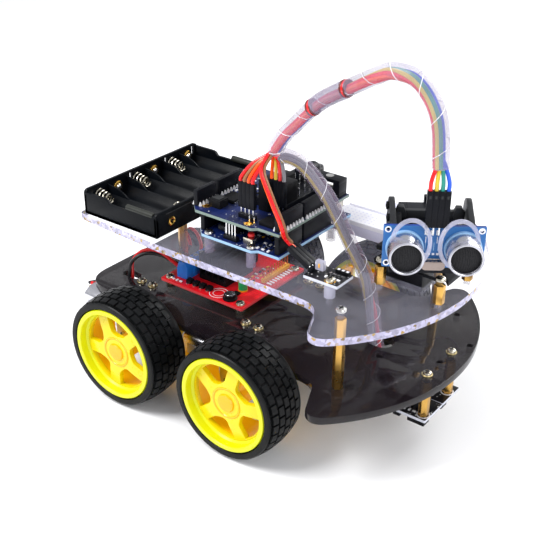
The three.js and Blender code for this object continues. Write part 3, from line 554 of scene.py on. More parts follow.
def deck_outline(tail_x, tail_corner):
    """Round nose, a lobe beside each front wheel, waist and square tail."""
    left = arc((25, 0), 104, 0, 46.5, 40)
    left += bend((96.5, 75.5), (91, 80), (86, 75))[1:] + bend((80, 62), (77, WAIST_Y), (66, WAIST_Y))
    left += [(-28, WAIST_Y)]
    left += bend((tail_x + tail_corner, TAIL_Y), (tail_x, TAIL_Y), (tail_x, TAIL_Y - tail_corner))
    return left + [(x, -y) for x, y in left[:0:-1]]


def slot_outline(x0, x1, y, radius):
    return arc((x1, y), radius, -90, 90, 10) + arc((x0, y), radius, 90, 270, 10)


def shade_bores(deck, holes, look):
    """Gives the walls of the holes their own, dimmer look, so that only the outer edge carries the bright
    painted edge colour, painted glow and painted glints.
    """
    deck.looks.append(look)
    spans = [[(min(axis) - 0.3, max(axis) + 0.3) for axis in zip(*hole)] for hole in holes]
    for face in deck.whole.faces:
        middle = face.calc_center_median()
        inside = any(x0 < middle.x < x1 and y0 < middle.y < y1 for (x0, x1), (y0, y1) in spans)
        if abs(face.normal.z) < 0.6 and inside:
            face.material_index = len(deck.looks) - 1


def make_decks():
    low, high = box_mm("bottom_plate")
    deck = Piece("bottom_deck", FROM_MIDDLE)
    holes = [circle(place, 1.7) for place in PILLARS + BRACKET_HOLES + SENSOR_HOLES + SPARE_HOLES]
    holes += [slot_outline(76, 84, 0, 6), slot_outline(-77, -71, -27, 3.5), slot_outline(-77, -71, 27, 3.5)]
    deck.prism(deck_outline(-92, 18), low.z, high.z, "smoked_acrylic", holes, bevel=0.2)
    deck.finish("chassis", "bottom_plate", slot="smoked_acrylic")

    low, high = box_mm("top_plate")
    deck = Piece("top_deck", FROM_MIDDLE)
    holes = [circle(place, 1.7) for place in PILLARS + PAN_MOUNTS + SPARE_HOLES[3:] + [IR_SCREW]]
    holes += [slot_outline(68, 76, -4, 6), rectangle(83, -6.8, 108, 6.8)]
    deck.prism(deck_outline(-91, 3), low.z, high.z, "clear_acrylic", holes, bevel=0.2)
    shade_bores(deck, holes, "deck_bore")
    deck.finish("chassis", "top_plate", slot="clear_acrylic")


def make_deck_screws():
    """Pan heads with washers on the bottom deck, and the pillar screws on both decks."""
    lower_top = box_mm("bottom_plate")[1].z
    lower_under = box_mm("bottom_plate")[0].z
    upper_top = box_mm("top_plate")[1].z
    screws = Piece("deck_screws", FROM_MIDDLE)
    for x, y in BRACKET_HOLES + SENSOR_HOLES:
        screws.rod((x, y, lower_top), (x, y, lower_top + 0.4), 2.9, "pale_gold", 20)
        screws.screw((x, y, lower_top + 0.4), "nickel", 2.4)
    for x, y in PILLARS:
        screws.screw((x, y, lower_under), up=-1)
        if (x, y) != (-57, 0):
            screws.screw((x, y, upper_top))
    screws.finish("chassis")


def make_pillars():
    for node in ("pillar_front_right", "pillar_front_left", "pillar_rear"):
        low, high = box_mm(node)
        x, y = (low.x + high.x) / 2, (low.y + high.y) / 2
        pillar = Piece(node.replace("pillar", "brass_pillar"))
        pillar.rod((x, y, low.z), (x, y, high.z), SPACER, "brass", 6, bevel=0.25)
        pillar.finish("chassis", node, slot="brass")


# ---------------------------------------------------------------- wheels and drive units

TYRE_RADIUS = 32.5
BLOCK_WALL = 0.15  # how far the wall of a tread block leans
GEARBOX_RADIUS = 11.25
GEARBOX_REAR = 25.9
BRACKET_SCREWS = [(-20.4, 8.75), (-20.4, -8.75)]
MOTOR_RADIUS, MOTOR_FLAT = 10.1, 7.6
CORNERS = {"front_right": 41, "front_left": 20, "rear_right": 9, "rear_left": 55}  # turn of each rim


def tread_steps(count, block, length):
    """Positions across a row of blocks, doubled at each block's walls, and whether each is raised."""
    pitch = length / count
    steps = []
    for index in range(count):
        start = index * pitch + (pitch - block) / 2
        steps += [(start, 0), (start + BLOCK_WALL, 1), (start + block - BLOCK_WALL, 1), (start + block, 0)]
    return steps


def make_tyre(name, place):
    """A smooth wall on each side and five rows of staggered blocks."""
    around = 2 * math.pi * TYRE_RADIUS
    blocks, groove = 34, 0.95
    rows, row_groove = 5, 0.75
    width = 22.4
    pitch = around / blocks
    steps = {round(step + shift, 4) for shift in (0, pitch / 2)
             for step, _ in tread_steps(blocks, pitch - groove, around)}
    turns = sorted(step % around for step in steps)
    profile = [(27.0, -12.6), (27.5, -13.4), (29.6, -13.5), (30.4, -13.3), (30.9, -12.7)]
    across = [(step - width / 2, raised, min(rows - 1, int(step / (width / rows))))
              for step, raised in tread_steps(rows, width / rows - row_groove, width)]
    depth = 1.25
    block_top = groove / 2 + BLOCK_WALL - 0.001  # a hair less, so that rounding loses no block

    def raised_at(turn, row):
        spot = (turn + (pitch / 2 if row % 2 else 0)) % pitch
        return block_top <= spot <= pitch - block_top

    solid = bmesh.new()
    columns = []
    for turn in turns:
        angle = turn / TYRE_RADIUS
        ring = [(radius, y) for radius, y in profile]
        for y, raised, row in across:
            crown = TYRE_RADIUS - 0.010 * y * y
            ring.append((crown if raised and raised_at(turn, row) else crown - depth, y))
        ring += [(radius, -y) for radius, y in reversed(profile)]
        columns.append([solid.verts.new((radius * math.cos(angle), y, radius * math.sin(angle)))
                        for radius, y in ring])
    for first, second in zip(columns, columns[1:] + columns[:1]):
        for index in range(len(first)):
            after = (index + 1) % len(first)
            solid.faces.new((first[index], first[after], second[after], second[index]))
    tyre = Piece(f"rubber_tyre_{name}", place)
    tyre.keep(solid, "rubber")
    tyre.finish(f"wheel_{name}", f"tyre_{name}", slot="tyre_rubber")


def rim_window(middle):
    """One of the five openings: wide and arched outside, round towards the hub."""
    outer = arc((0, 0), 21.6, middle - 26, middle + 26, 10)
    hub = Vector((math.cos(math.radians(middle)), math.sin(math.radians(middle))))
    side = Vector((-hub.y, hub.x))
    inner = [hub * (12.6 - 2.6 * depth) + side * (4.6 * reach)
             for reach, depth in bend((1, 0), (0.45, 1.5), (-1, 0), 8)]
    return outer + [tuple(point) for point in inner]


def make_rim(name, place, turn):
    rim = Piece(f"spoked_rim_{name}", place)
    rim.lathe([(24.6, -12.5), (26.7, -12.5), (26.7, 12.9), (26.4, 13.4), (24.3, 13.5), (23.9, 13.1),
               (23.6, 9.4), (22.6, 8.4), (22.6, 6.6), (24.6, 6.2)], "yellow", axis="y", sides=96)
    # The inner barrel carries painted light: an orange tone and a faint painted glow.
    rim.lathe([(22.7, -12.4), (24.65, -12.4), (24.65, 6.5), (22.7, 6.5)], "glowing_inner_yellow", axis="y", sides=64)
    windows = [rim_window(turn + 72 * index) for index in range(5)]
    web = Piece("web")
    web.prism(circle((0, 0), 23.0, 90), 5.0, 8.2, "warm_yellow", windows, axis="y", bevel=0.5)
    for vert in web.whole.verts:
        reach = math.hypot(vert.co.x, vert.co.z)
        vert.co.y += 1.6 * math.sin(math.pi * max(0.0, min(1.0, (reach - 6.0) / 17.0)))
    rim.keep(web.whole, "warm_yellow")
    rim.lathe([(0, 5.0), (9.4, 5.0), (9.4, 8.9), (8.9, 9.7), (8.2, 9.8), (7.7, 9.3), (7.4, 7.9), (5.4, 7.7),
               (5.2, 9.5), (4.7, 10.3), (0, 10.6)], "hub_yellow", axis="y", sides=64)
    # The hub sleeve carries the same painted orange tone and painted glow.
    rim.lathe([(4.6, -12.2), (6.5, -12.2), (6.5, 5.1), (4.6, 5.1)], "glowing_inner_yellow", axis="y", sides=40)
    rim.finish(f"wheel_{name}", f"wheel_rim_{name}", slot="yellow_plastic")


def make_gearbox(name, place):
    """Two yellow half casings, a clear strap, screws and the tab at the front."""
    radius = GEARBOX_RADIUS
    outline = arc((0, 0), radius, -90, 90, 18) + [(-GEARBOX_REAR, radius), (-GEARBOX_REAR, -radius)]
    box = Piece(f"gear_casing_{name}", place)
    for start, end in ((33, 42.2), (42.5, 51.8)):
        box.prism(outline, start, end, "gear_yellow", [circle((0, 0), 3)], axis="y", bevel=0.5)
    box.box((7.8, 41, -2.6), (16.2, 43.5, 2.6), "gear_yellow", 0.3)
    for z in (-11.9, 11.3):
        box.box((-25.4, 34, z), (-21.6, 51, z + 0.6), "white", 0.1)
    for x, z in [*BRACKET_SCREWS, (5.5, 0), (2.0, 8.0), (2.0, -8.0)]:
        box.rod((x, 51.6, z), (x, 52.7, z), 1.9, "steel", 16, bevel=0.2)
    box.finish("chassis", f"gearbox_{name}", slot="yellow_plastic")


def make_motor(name, place):
    motor = Piece(f"motor_can_{name}", place)
    start, end, y = -26.2, -53.2, 42.4
    outline = [(min(max(a, y - MOTOR_FLAT), y + MOTOR_FLAT), b)
               for a, b in circle((y, 0), MOTOR_RADIUS, 48)]
    motor.prism(outline, end, start, "aluminium", axis="x", bevel=0.5)
    motor.rod((end - 2.4, y, 0), (end + 0.1, y, 0), 4.5, "white", 20, bevel=0.3)
    for z in (7.4, -7.4):
        motor.box((end - 3, y - 1.2, z - 0.4), (end + 2, y + 1.2, z + 0.4), "brass", 0.1)
    motor.box((end + 3, y - 7.75, -3), (start - 4, y + 7.75, 3), "cast", 0.05)
    motor.finish("chassis", f"motor_{name}", slot="motor_steel")


def make_bracket(name, place):
    top = box_mm(f"motor_bracket_{name}")[1].z - TYRE_RADIUS
    inner = 26.8
    bracket = Piece(f"motor_block_{name}", place)
    bracket.box((-31.4, inner, -15.5), (-9.4, inner + 6, top), "cast", 0.4)
    for x, z in BRACKET_SCREWS:
        bracket.rod((x, inner - 1.6, z), (x, inner + 0.1, z), 2.8, "steel", 20, bevel=0.4)
        bracket.rod((x, inner - 1.9, z), (x, inner - 1.5, z), 1.3, "chip", 6)
    bracket.finish("chassis", f"motor_bracket_{name}", slot="cast_aluminium")


def make_shaft(name, place):
    shaft = Piece(f"white_shaft_{name}", place)
    shaft.rod((0, 34, 0), (0, 51.8, 0), 2.7, "white", 20)
    shaft.box((-2.6, 51.7, -1.85), (2.6, 72, 1.85), "white", 0.3)
    shaft.finish(f"wheel_{name}", f"output_shaft_{name}", slot="white_plastic")


def make_drive_units():
    for name, turn in CORNERS.items():
        low, high = box_mm(f"tyre_{name}")
        middle = (low + high) / 2
        outward = 1 if middle.y > 0 else -1
        face = Matrix.Diagonal((1, outward, 1, 1))
        wheel = Matrix.Translation(middle) @ face
        unit = Matrix.Translation((middle.x, 0, middle.z)) @ face
        make_tyre(name, wheel)
        make_rim(name, wheel, turn)
        make_gearbox(name, unit)
        make_motor(name, unit)
        make_bracket(name, unit)
        make_shaft(name, unit)


# ---------------------------------------------------------------- battery holder


def make_battery_holder():
    low, high = box_mm("battery_holder")
    wall = 1.8
    x0, x1 = low.x, high.x
    y0, y1 = low.y, high.y
    floor = low.z + 2
    tray = Piece("battery_tray")
    tray.box((x0, y0, low.z), (x1, y1, floor), "tray", 0.2)
    pitch = (y1 - y0 - 2 * wall) / 6

    # Six round troughs side by side.
    troughs = [(y0 + 0.9, floor - 0.5)]
    for cell in range(6):
        middle = y0 + wall + (cell + 0.5) * pitch
        for across in (-0.92, -0.7, -0.45, -0.15, 0.15, 0.45, 0.7, 0.92):
            reach = across * pitch / 2
            rise = 8.0 - math.sqrt(8.0 ** 2 - reach ** 2)
            troughs.append((middle + reach, floor + 0.2 + rise * 1.25))
    troughs.append((y1 - 0.9, floor - 0.5))
    tray.prism(troughs, x0 + 1, x1 - 1, "tray", axis="x", bevel=0.15)

    # Long walls: the tail one is full height with rounded corners and narrow slots.
    top = high.z
    tail = [(y0, low.z), (y0, top - 3)] + bend((y0, top - 3), (y0, top), (y0 + 3, top))[1:]
    tail += bend((y1 - 3, top), (y1, top), (y1, top - 3)) + [(y1, low.z)]
    slots = [rectangle(y, top - 6.8, y + 2.2, top - 1.2)
             for y in (y0 + wall + 2 * pitch + 2.6, y0 + wall + 4 * pitch + 2.6, y1 - 5.2)]
    tray.prism(tail, x0, x0 + wall, "tray", slots, axis="x", bevel=0.25)
    front_top = top - 0.6
    front = [(y0, low.z), (y0, front_top - 1), (y0 + 1, front_top), (y1 - 1, front_top), (y1, front_top - 1),
             (y1, low.z)]
    tray.prism(front, x1 - wall, x1, "tray", axis="x", bevel=0.25)
    # Painted highlight: a thin grey line just under the front wall's top edge.
    tray.box((x1 - 0.3, y0 + 8, front_top - 2.4), (x1 + 0.25, y1 - 8, front_top - 1.9), "grey", 0.1)

    # Ribs between the cells fall in a curve from the tail wall to a low ridge.
    for cell in range(1, 6):
        y = y0 + wall + cell * pitch
        fall = bend((x0 + wall, top - 2), (x0 + 11, top - 2.5), (x0 + 15, floor + 7.6), 6)
        fall += bend((x0 + 15, floor + 7.6), (x0 + 18, floor + 4.4), (x0 + 27, floor + 4.4), 6)[1:]
        rib = [(x0 + wall, floor)] + fall + [(x1 - wall, floor + 4.4), (x1 - wall, floor)]
        tray.prism(rib, y - 0.45, y + 0.45, "tray", axis="y", bevel=0.2)

    # End walls with a notch, and a soft grey pad rolled over the front half.
    for side, y in ((-1, y0), (1, y1)):
        inner = sorted((y, y - side * wall))
        notch = top - 4.2
        shoulder = top - 1.6
        end = [(x0 + 0.3, low.z), (x0 + 0.3, shoulder - 1), (x0 + 2, shoulder)]
        end += bend((x0 + 15, shoulder), (x0 + 18, shoulder), (x0 + 19, notch + 1.2))
        end += [(x0 + 20, notch), (x0 + 32, notch), (x0 + 32, top - 2), (x1 - 2, top - 2), (x1, top - 4),
                (x1, low.z)]
        tray.prism(end, inner[0], inner[1], "tray", axis="y", bevel=0.3)
        tray.rod((x0 + 32.2, y - side * 1.7, top - 2.7), (x1 - 3, y - side * 1.7, top - 2.7), 1.8, "pad", 16,
                 bevel=0.3)

    # Contacts: a coil spring at one end of each cell and a brass dome at the other.
    axis_z = floor + 6.6
    for cell in range(6):
        y = y0 + wall + (cell + 0.5) * pitch
        springy = cell % 2 == 0
        spring_x, spring_way = (x0 + wall, 1) if springy else (x1 - wall, -1)
        dome_x, dome_way = (x1 - wall, -1) if springy else (x0 + wall, 1)
        coil = []
        turns, length = 4.0, (9.5 if springy else 6.5)
        for step in range(int(turns * 12) + 1):
            share = step / (turns * 12)
            reach = 3.9 - 1.6 * share
            angle = 2 * math.pi * turns * share
            coil.append((spring_x + spring_way * (0.3 + length * share), y + reach * math.cos(angle),
                         axis_z - 0.4 + reach * math.sin(angle)))
        tray.tube(coil, 0.48, "nickel", sides=8, steps=2)
        base = (dome_x, y, axis_z)
        tray.lathe([(0, 0), (3.4, 0), (3.4, dome_way * 0.6), (2.7, dome_way * 1.0), (0, dome_way * 1.0)],
                   "gold", base, "x", 24)
        tray.lathe([(0, 0), (1.9, dome_way * 0.9), (1.7, dome_way * 1.7), (1.0, dome_way * 2.2),
                    (0, dome_way * 2.4)], "solder", base, "x", 20)
    eyelet = (x1, y0 + 12, low.z + 6.6)
    tray.lathe([(1.3, 0), (2.6, 0), (2.6, 0.5), (2.0, 0.8), (1.3, 0.5)], "gold", eyelet, "x", 24)
    tray.rod(eyelet, (x1 + 0.1, *eyelet[1:]), 1.4, "chip", 16)
    tray.finish("chassis", "battery_holder", slot="black_plastic")


# ---------------------------------------------------------------- boards

PIN = 2.54
BOARD = 1.6  # thickness of every circuit board
CONTROLLER_RISE = 9  # from the top deck to the controller
SHIELD_RISE = 12.6  # from the controller to the shield
DRIVER_RISE = 4


def board_outline(x0, x1, y0, y1):
    """Board with a stepped edge at its low Y end."""
    step = 2.5
    return [(x0, y1), (x0, y0 + 2 * step), (x0 + step, y0 + step), (x0 + 2 * step, y0), (x1 - 15.6, y0),
            (x1 - 15.6 + step, y0 + step), (x1, y0 + step), (x1, y1)]


def header(piece, x, y, z, pins, height=8.6, footed=True):
    """Black socket strip along Y, with its square openings and a row of joints at its foot."""
    piece.box((x - 1.25, y - PIN / 2, z), (x + 1.25, y + (pins - 0.5) * PIN, z + height), "black", 0.12)
    for pin in range(pins):
        spot = y + pin * PIN
        piece.post(x, spot, z + height - 0.1, z + height + 0.06, 0.55, "chip")
        if footed:
            for side in (-2.1, 2.1):
                piece.lathe([(0, 0), (0.95, 0), (0.35, 1.9), (0, 2.1)], "joint", (x + side, spot, z), sides=8)


def chip(piece, low, high, pins=0, along="y"):
    """Black package with silver legs on both long sides."""
    piece.box(low, high, "chip", 0.15)
    for leg in range(pins):
        for side in (0, 1):
            if along == "y":
                y = low[1] + (leg + 0.5) * (high[1] - low[1]) / pins
                edge = high[0] if side else low[0] - 0.9
                piece.box((edge, y - 0.25, low[2]), (edge + 0.9, y + 0.25, low[2] + 1.2), "solder", 0)
            else:
                x = low[0] + (leg + 0.5) * (high[0] - low[0]) / pins
                edge = high[1] if side else low[1] - 0.9
                piece.box((x - 0.25, edge, low[2]), (x + 0.25, edge + 0.9, low[2] + 1.2), "solder", 0)


def small_parts(piece, x0, x1, y0, y1, z, columns, rows, looks=("chip", "solder", "amber", "silk")):
    """Rows of tiny surface parts, each with two silver ends."""
    for column in range(columns):
        for row in range(rows):
            x = x0 + (column + 0.5) * (x1 - x0) / columns
            y = y0 + (row + 0.5) * (y1 - y0) / rows
            look = looks[(column * 3 + row * 5) % len(looks)]
            long = 0.9 if (column + row) % 2 else 0.5
            wide = 0.5 if (column + row) % 2 else 0.9
            piece.box((x - long, y - wide, z), (x + long, y + wide, z + 0.6), look, 0)
            if long > wide:
                piece.box((x - long - 0.35, y - wide, z), (x - long, y + wide, z + 0.5), "solder", 0)
                piece.box((x + long, y - wide, z), (x + long + 0.35, y + wide, z + 0.5), "solder", 0)


HEADER_ROWS = [(2.54, 5.1, 6), (2.54, 22.9, 8), (50.86, 5.1, 8), (50.86, 26.9, 10)]


def make_controller():
    low, high = box_mm("controller_board")
    deck = low.z
    z = deck + CONTROLLER_RISE
    x0, x1, y0, y1 = low.x, low.x + 53.4, low.y, low.y + 68.6
    top = z + BOARD
    board = Piece("controller")
    board.prism(board_outline(x0, x1, y0, y1), z, top, "navy", bevel=0.1)
    for inset, start, pins in HEADER_ROWS:
        header(board, x0 + inset, y0 + start, top, pins, footed=False)
    for dx, dy in ((7.6, 3), (35.5, 3), (2.6, 54.6), (50.8, 53.4)):
        x, y = x0 + dx, y0 + dy
        board.ring((x, y), 1.6, 2.6, deck, z, "wrap", 24)
        board.screw((x, y, top), "steel", 2.6)
    board.box((x0 + 32.5, y1 - 10, top), (x0 + 44.5, y1 + 6.2, top + 10.8), "nickel", 0.3)
    board.box((x0 + 3.2, y1 - 11.6, top), (x0 + 12.2, y1 + 1.8, top + 10.8), "black", 0.4)
    chip(board, (x0 + 14, y0 + 11, top), (x0 + 21, y0 + 46, top + 4), 14)
    board.box((x0 + 29, y0 + 4.6, top), (x0 + 35, y0 + 10.6, top + 3.4), "nickel", 0.2)
    for pin in range(4):
        x = x0 + 19 + pin * 1.9
        board.box((x - 0.32, y0 + 3.4, top), (x + 0.32, y0 + 4.0, top + 9.4), "solder", 0)
    board.box((x0 + 17.6, y0 + 2.4, top), (x0 + 26.2, y0 + 5.0, top + 2.4), "black", 0.1)
    board.rod((x0 + 10, y0 + 9, top + 2.2), (x0 + 17, y0 + 9, top + 2.2), 1.7, "grey", 16, bevel=0.3)
    board.box((x0 + 15, y0 + 7.2, top + 0.4), (x0 + 15.9, y0 + 10.8, top + 4.0), "silk", 0)
    small_parts(board, x0 + 26, x0 + 47, y0 + 14, y0 + 50, top, 7, 9)
    small_parts(board, x0 + 37, x0 + 47, y0 + 3.4, y0 + 12, top, 3, 4, ("silk", "solder", "chip"))
    small_parts(board, x0 + 4.5, x0 + 12, y0 + 14, y0 + 50, top, 2, 10)
    board.finish("chassis", "controller_board", slot="navy_board")

    low, high = box_mm("reset_button")
    button = Piece("red_reset_button")
    middle = (low + high) / 2
    button.lathe([(0, low.z), (1.75, low.z), (1.75, high.z - 0.35), (1.4, high.z), (0, high.z)], "red",
                 (middle.x, middle.y, 0), sides=24)
    button.finish("reset_button", "reset_button", slot="red_plastic")


def make_shield():
    low, high = box_mm("sensor_shield")
    x0, x1, y0, y1 = low.x, high.x, low.y, high.y
    below = box_mm("controller_board")[0]
    z = below.z + CONTROLLER_RISE + SHIELD_RISE
    top = z + BOARD
    shield = Piece("shield")
    corners = ((x0 + 6.8, y0 + 7.2), (x1 - 20, y0 + 3.6))
    holes = [circle(place, 1.6) for place in corners]
    shield.prism(board_outline(x0, x1, y0, y1), z, top, "shield", holes, bevel=0.1)
    for place in corners:
        shield.ring(place, 1.5, 2.5, z - 0.05, top + 0.08, "gold", 24)
    for row, (inset, start, pins) in enumerate(HEADER_ROWS):
        x = x0 + 2.2 if row < 2 else x1 - 2.5
        header(shield, x, y0 + start, top, pins)
        under = below.x + inset
        end = y0 + start + (pins - 0.5) * PIN
        shield.box((under - 1.25, y0 + start - 1.27, z - 2.4), (under + 1.25, end, z), "black", 0.1)
        for pin in range(pins):
            spot = y0 + start + pin * PIN
            shield.post(under, spot, z - 3.2, z - 2.3, 0.3)
    chip(shield, (x0 + 8, y0 + 17, top), (x0 + 17, y0 + 27, top + 2.0), 8)

    # Blocks of upright pins in the middle, with loose black housings pushed over the near ones.
    for column in range(6):
        x = x0 + 27 + column * 3.4
        shield.box((x - 1.6, y0 + 24, top), (x + 1.6, y0 + 55, top + 4.5), "black", 0.1)
        for pin in range(0, 11, 2):
            y = y0 + 27.5 + pin * PIN
            shield.post(x, y, top + 4.4, top + 9.6, 0.3)
    for x, y, depth, height in ((31, 20, 9, 17), (38, 26, 10, 15), (30, 33, 12, 14)):
        shield.box((x0 + x, y0 + y, top), (x0 + x + 6.5, y0 + y + depth, top + height), "chip", 0.4)
    shield.box((x0 + 8, y0 + 7.5, top), (x0 + 15.5, y0 + 14.5, top + 4.6), "chip", 0.3)
    shield.box((x0 + 9.2, y0 + 8.7, top + 4.5), (x0 + 14.3, y0 + 13.3, top + 5.0), "grey", 0.2)
    shield.box((x1 - 15, y0 + 5.5, top), (x1 - 6, y0 + 14, top + 2.2), "chip", 0.3)
    for pin in range(2):
        shield.box((x1 - 18 - 3 * pin, y0 + 5.2, top), (x1 - 17.4 - 3 * pin, y0 + 5.8, top + 3.2),
                   "solder", 0)
    small_parts(shield, x0 + 5, x0 + 24, y0 + 30, y0 + 58, top, 5, 7, ("silk", "solder", "chip", "grey"))

    # Screw terminals at the far edge.
    for base, height in ((0, 2.8), (8, 10)):
        shield.box((x1 - 30, y1 - 9, top + base), (x1 - 1, y1 - 1.5, top + height), "black", 0.2)
    for x, width in ((x1 - 30, 3), (x1 - 18, 4), (x1 - 5, 4)):
        shield.box((x, y1 - 9, top + 2.7), (x + width, y1 - 1.5, top + 8.1), "black", 0.1)
    for x in (x1 - 22.5, x1 - 9.5):
        shield.rod((x, y1 - 5.2, top + 9.9), (x, y1 - 5.2, top + 10.3), 2.2, "steel", 20)

    # The carriers under the two jumper plugs; their posts are drawn with the plugs.
    for node in ("shield_plug_head", "shield_plug_line"):
        plug_low, plug_high = box_mm(node)
        shield.box((plug_low.x, plug_low.y, top), (plug_high.x, plug_high.y, top + 2.3), "black", 0.15)
    shield.finish("chassis", "sensor_shield", slot="navy_board")


def make_jumper_plug(node, name, lift):
    """Four black housings side by side above four long pins."""
    low, high = box_mm(node)
    plug = Piece(name)
    count = 4
    pitch = (high.x - low.x) / count
    middle_y = (low.y + high.y) / 2
    for pin in range(count):
        x = low.x + (pin + 0.5) * pitch
        plug.box((x - pitch / 2 + 0.06, low.y, low.z + lift), (x + pitch / 2 - 0.06, high.y, high.z),
                 "black", 0.15)
        plug.post(x, middle_y, low.z, low.z + lift + 1, 0.32)
        plug.box((x - 0.5, low.y - 0.05, high.z - 5.5), (x + 0.5, low.y + 0.3, high.z - 4), "chip", 0)
    return plug.finish("chassis", node, slot="black_plastic")


def make_driver():
    low, high = box_mm("driver_board")
    x0, x1, y0, y1 = low.x, high.x, low.y, high.y
    z = low.z + DRIVER_RISE
    top = z + BOARD
    board = Piece("motor_driver")
    corners = [(x, y) for x in (x0 + 4, x1 - 4) for y in (y0 + 4, y1 - 4)]
    board.prism(rounded(x0, y0, x1, y1, 0.8), z, top, "red_board", [circle(place, 1.6) for place in corners],
                bevel=0.1)
    for x, y in corners:
        board.rod((x, y, low.z), (x, y, z), SPACER, "nickel", 6, bevel=0.2)
        board.screw((x, y, top), "nickel", 2.7)
    for index in range(4):
        x = x0 + 17.5 + index * 4.8
        board.box((x - 1.7, y0 + 4.2, top), (x + 1.7, y0 + 7.8, top + 2.3), "chip", 0.2)
        for y in (y0 + 3.1, y0 + 7.8):
            board.box((x - 0.8, y, top), (x + 0.8, y + 1.1, top + 0.5), "solder", 0.1)
    cap = (x1 - 12.4, y0 + 5.5)
    board.lathe([(0, top), (4.2, top), (4.2, top + 0.8), (3.6, top + 1.1), (3.6, top + 2.8), (3.3, top + 3.2),
                 (0, top + 3.2)], "chip", (*cap, 0), sides=28)
    board.lathe([(0, top + 3.1), (2.9, top + 3.1), (2.7, top + 3.35), (0, top + 3.4)], "aluminium", (*cap, 0),
                sides=28)
    circles = (x1 - 21.5, y0 + 6.5)
    for inner, outer in ((5.2, 5.6), (3.2, 3.5)):
        board.ring(circles, inner, outer, top, top + 0.06, "silk", 40)
    sleeve = (x1 - 12.8, y0 + 17.5)
    board.lathe([(0, top), (2.6, top), (2.6, top + 1.0), (2.4, top + 1.1), (2.6, top + 1.3),
                 (2.6, top + 6.2), (2.2, top + 6.5), (0, top + 6.5)], "green", (*sleeve, 0), sides=24)
    board.lathe([(0, top), (2.8, top), (2.8, top + 0.9), (0, top + 0.9)], "amber", (*sleeve, 0), sides=24)
    board.box((x1 - 14.6, y0 + 10.4, top), (x1 - 11, y0 + 13.2, top + 1.2), "chip", 0.2)
    strip = x1 - 9
    board.box((strip - 1.3, y0 + 31, top), (strip + 1.3, y0 + 56, top + 2.5), "amber", 0.2)
    for pin in range(10):
        y = y0 + 32.3 + pin * PIN
        board.post(strip, y, top + 2.4, top + 8, 0.3, "gold")
        board.box((strip + 2.2, y - 0.5, top), (strip + 5.5, y + 0.5, top + 0.5), "silk", 0)
    board.rod((x0 + 27.5, y0 + 49, top), (x0 + 27.5, y0 + 49, top + 9), 5, "chip", 32, bevel=0.5)
    board.rod((x0 + 27.5, y0 + 49, top + 8.95), (x0 + 27.5, y0 + 49, top + 9.15), 4.2, "aluminium", 32)
    small_parts(board, x0 + 40, x0 + 47, y0 + 24, y0 + 50, top, 2, 7)
    small_parts(board, x0 + 3, x0 + 14, y0 + 1.5, y0 + 5, top, 4, 1, ("silk",))
    board.finish("chassis", "driver_board", slot="red_board")

    low, high = box_mm("driver_heatsink")
    sink = Piece("finned_heatsink")
    sink.box(low, (high.x, high.y, low.z + 3.2), "chip", 0.3)
    fins = 5
    for fin in range(fins):
        x = low.x + fin * (high.x - low.x - 1.4) / (fins - 1)
        sink.box((x, low.y, low.z + 3), (x + 1.4, high.y, high.z), "chip", 0.3)
    sink.finish("chassis", "driver_heatsink", slot="black_metal")

    low, high = box_mm("driver_terminals")
    block = Piece("screw_terminals")
    mouths = 6
    pitch = (high.y - low.y) / mouths
    for mouth in range(mouths):
        start = low.y + mouth * pitch
        block.prism([(high.x, low.z), (high.x, low.z + 7.6), (high.x - 1.6, high.z), (low.x + 1.6, high.z),
                     (low.x, low.z + 5.4), (low.x, low.z + 4.6), (low.x + 2.4, low.z + 4.6),
                     (low.x + 2.4, low.z)], start + 0.05, start + pitch - 0.05, "blue", axis="y", bevel=0.2)
        for wall in (start + 0.05, start + pitch - 0.85):
            block.box((low.x, wall, low.z), (low.x + 2.5, wall + 0.8, low.z + 4.7), "blue", 0.1)
        screw = (low.x + 4, start + pitch / 2)
        block.rod((*screw, high.z - 0.2), (*screw, high.z + 0.15), 1.7, "steel", 16)
    block.finish("chassis", "driver_terminals", slot="blue_plastic")


def make_ir_receiver():
    low, high = box_mm("ir_receiver_board")
    spacer_low, spacer_high = box_mm("ir_receiver_spacer")
    screw = ((spacer_low.x + spacer_high.x) / 2, (spacer_low.y + spacer_high.y) / 2)
    z, top = low.z, low.z + BOARD
    board = Piece("ir_receiver")
    outline = rounded(low.x, low.y, high.x, high.y, 0.6)
    board.prism(outline, z, top, "black_board", [circle(screw, 1.7)], bevel=0.1)
    board.ring(screw, 1.7, 2.9, top, top + 0.1, "gold", 24)
    board.screw((*screw, top + 0.1), "nickel", 2.5)
    x, y = low.x + 5.5, low.y + 8
    board.box((x - 2.4, y - 2.4, top + 1.6), (x + 2.4, y + 0.6, top + 6.6), "tie", 0.5)
    board.ball((x, y - 2.2, top + 4.2), 1.2, "amber", (0.5, 0.4, 1.2))
    for leg in (-1.8, 0, 1.8):
        board.box((x + leg - 0.25, y + 0.5, top), (x + leg + 0.25, y + 1.2, top + 4), "solder", 0)
    board.box((low.x + 0.2, low.y + 3.7, top), (low.x + 2.4, low.y + 11.3, top + 2.4), "black", 0.15)
    board.box((high.x - 8.5, high.y - 3.4, top), (high.x - 1, high.y - 0.8, top + 2.0), "chip", 0.15)
    for pin in range(3):
        spot = high.x - 7.2 + pin * PIN
        board.box((spot - 0.7, high.y - 2.8, top + 1.9), (spot + 0.7, high.y - 1.4, top + 2.1), "silk", 0)
    small_parts(board, low.x + 9, high.x - 1.5, low.y + 4, high.y - 4, top, 4, 3, ("silk", "solder", "chip"))
    board.finish("chassis", "ir_receiver_board", slot="black_board")

    spacer = Piece("clear_spacer")
    spacer.ring(screw, 1.5, 2.9, spacer_low.z, spacer_high.z, "tie", 28)
    spacer.finish("chassis", "ir_receiver_spacer", slot="white_plastic")


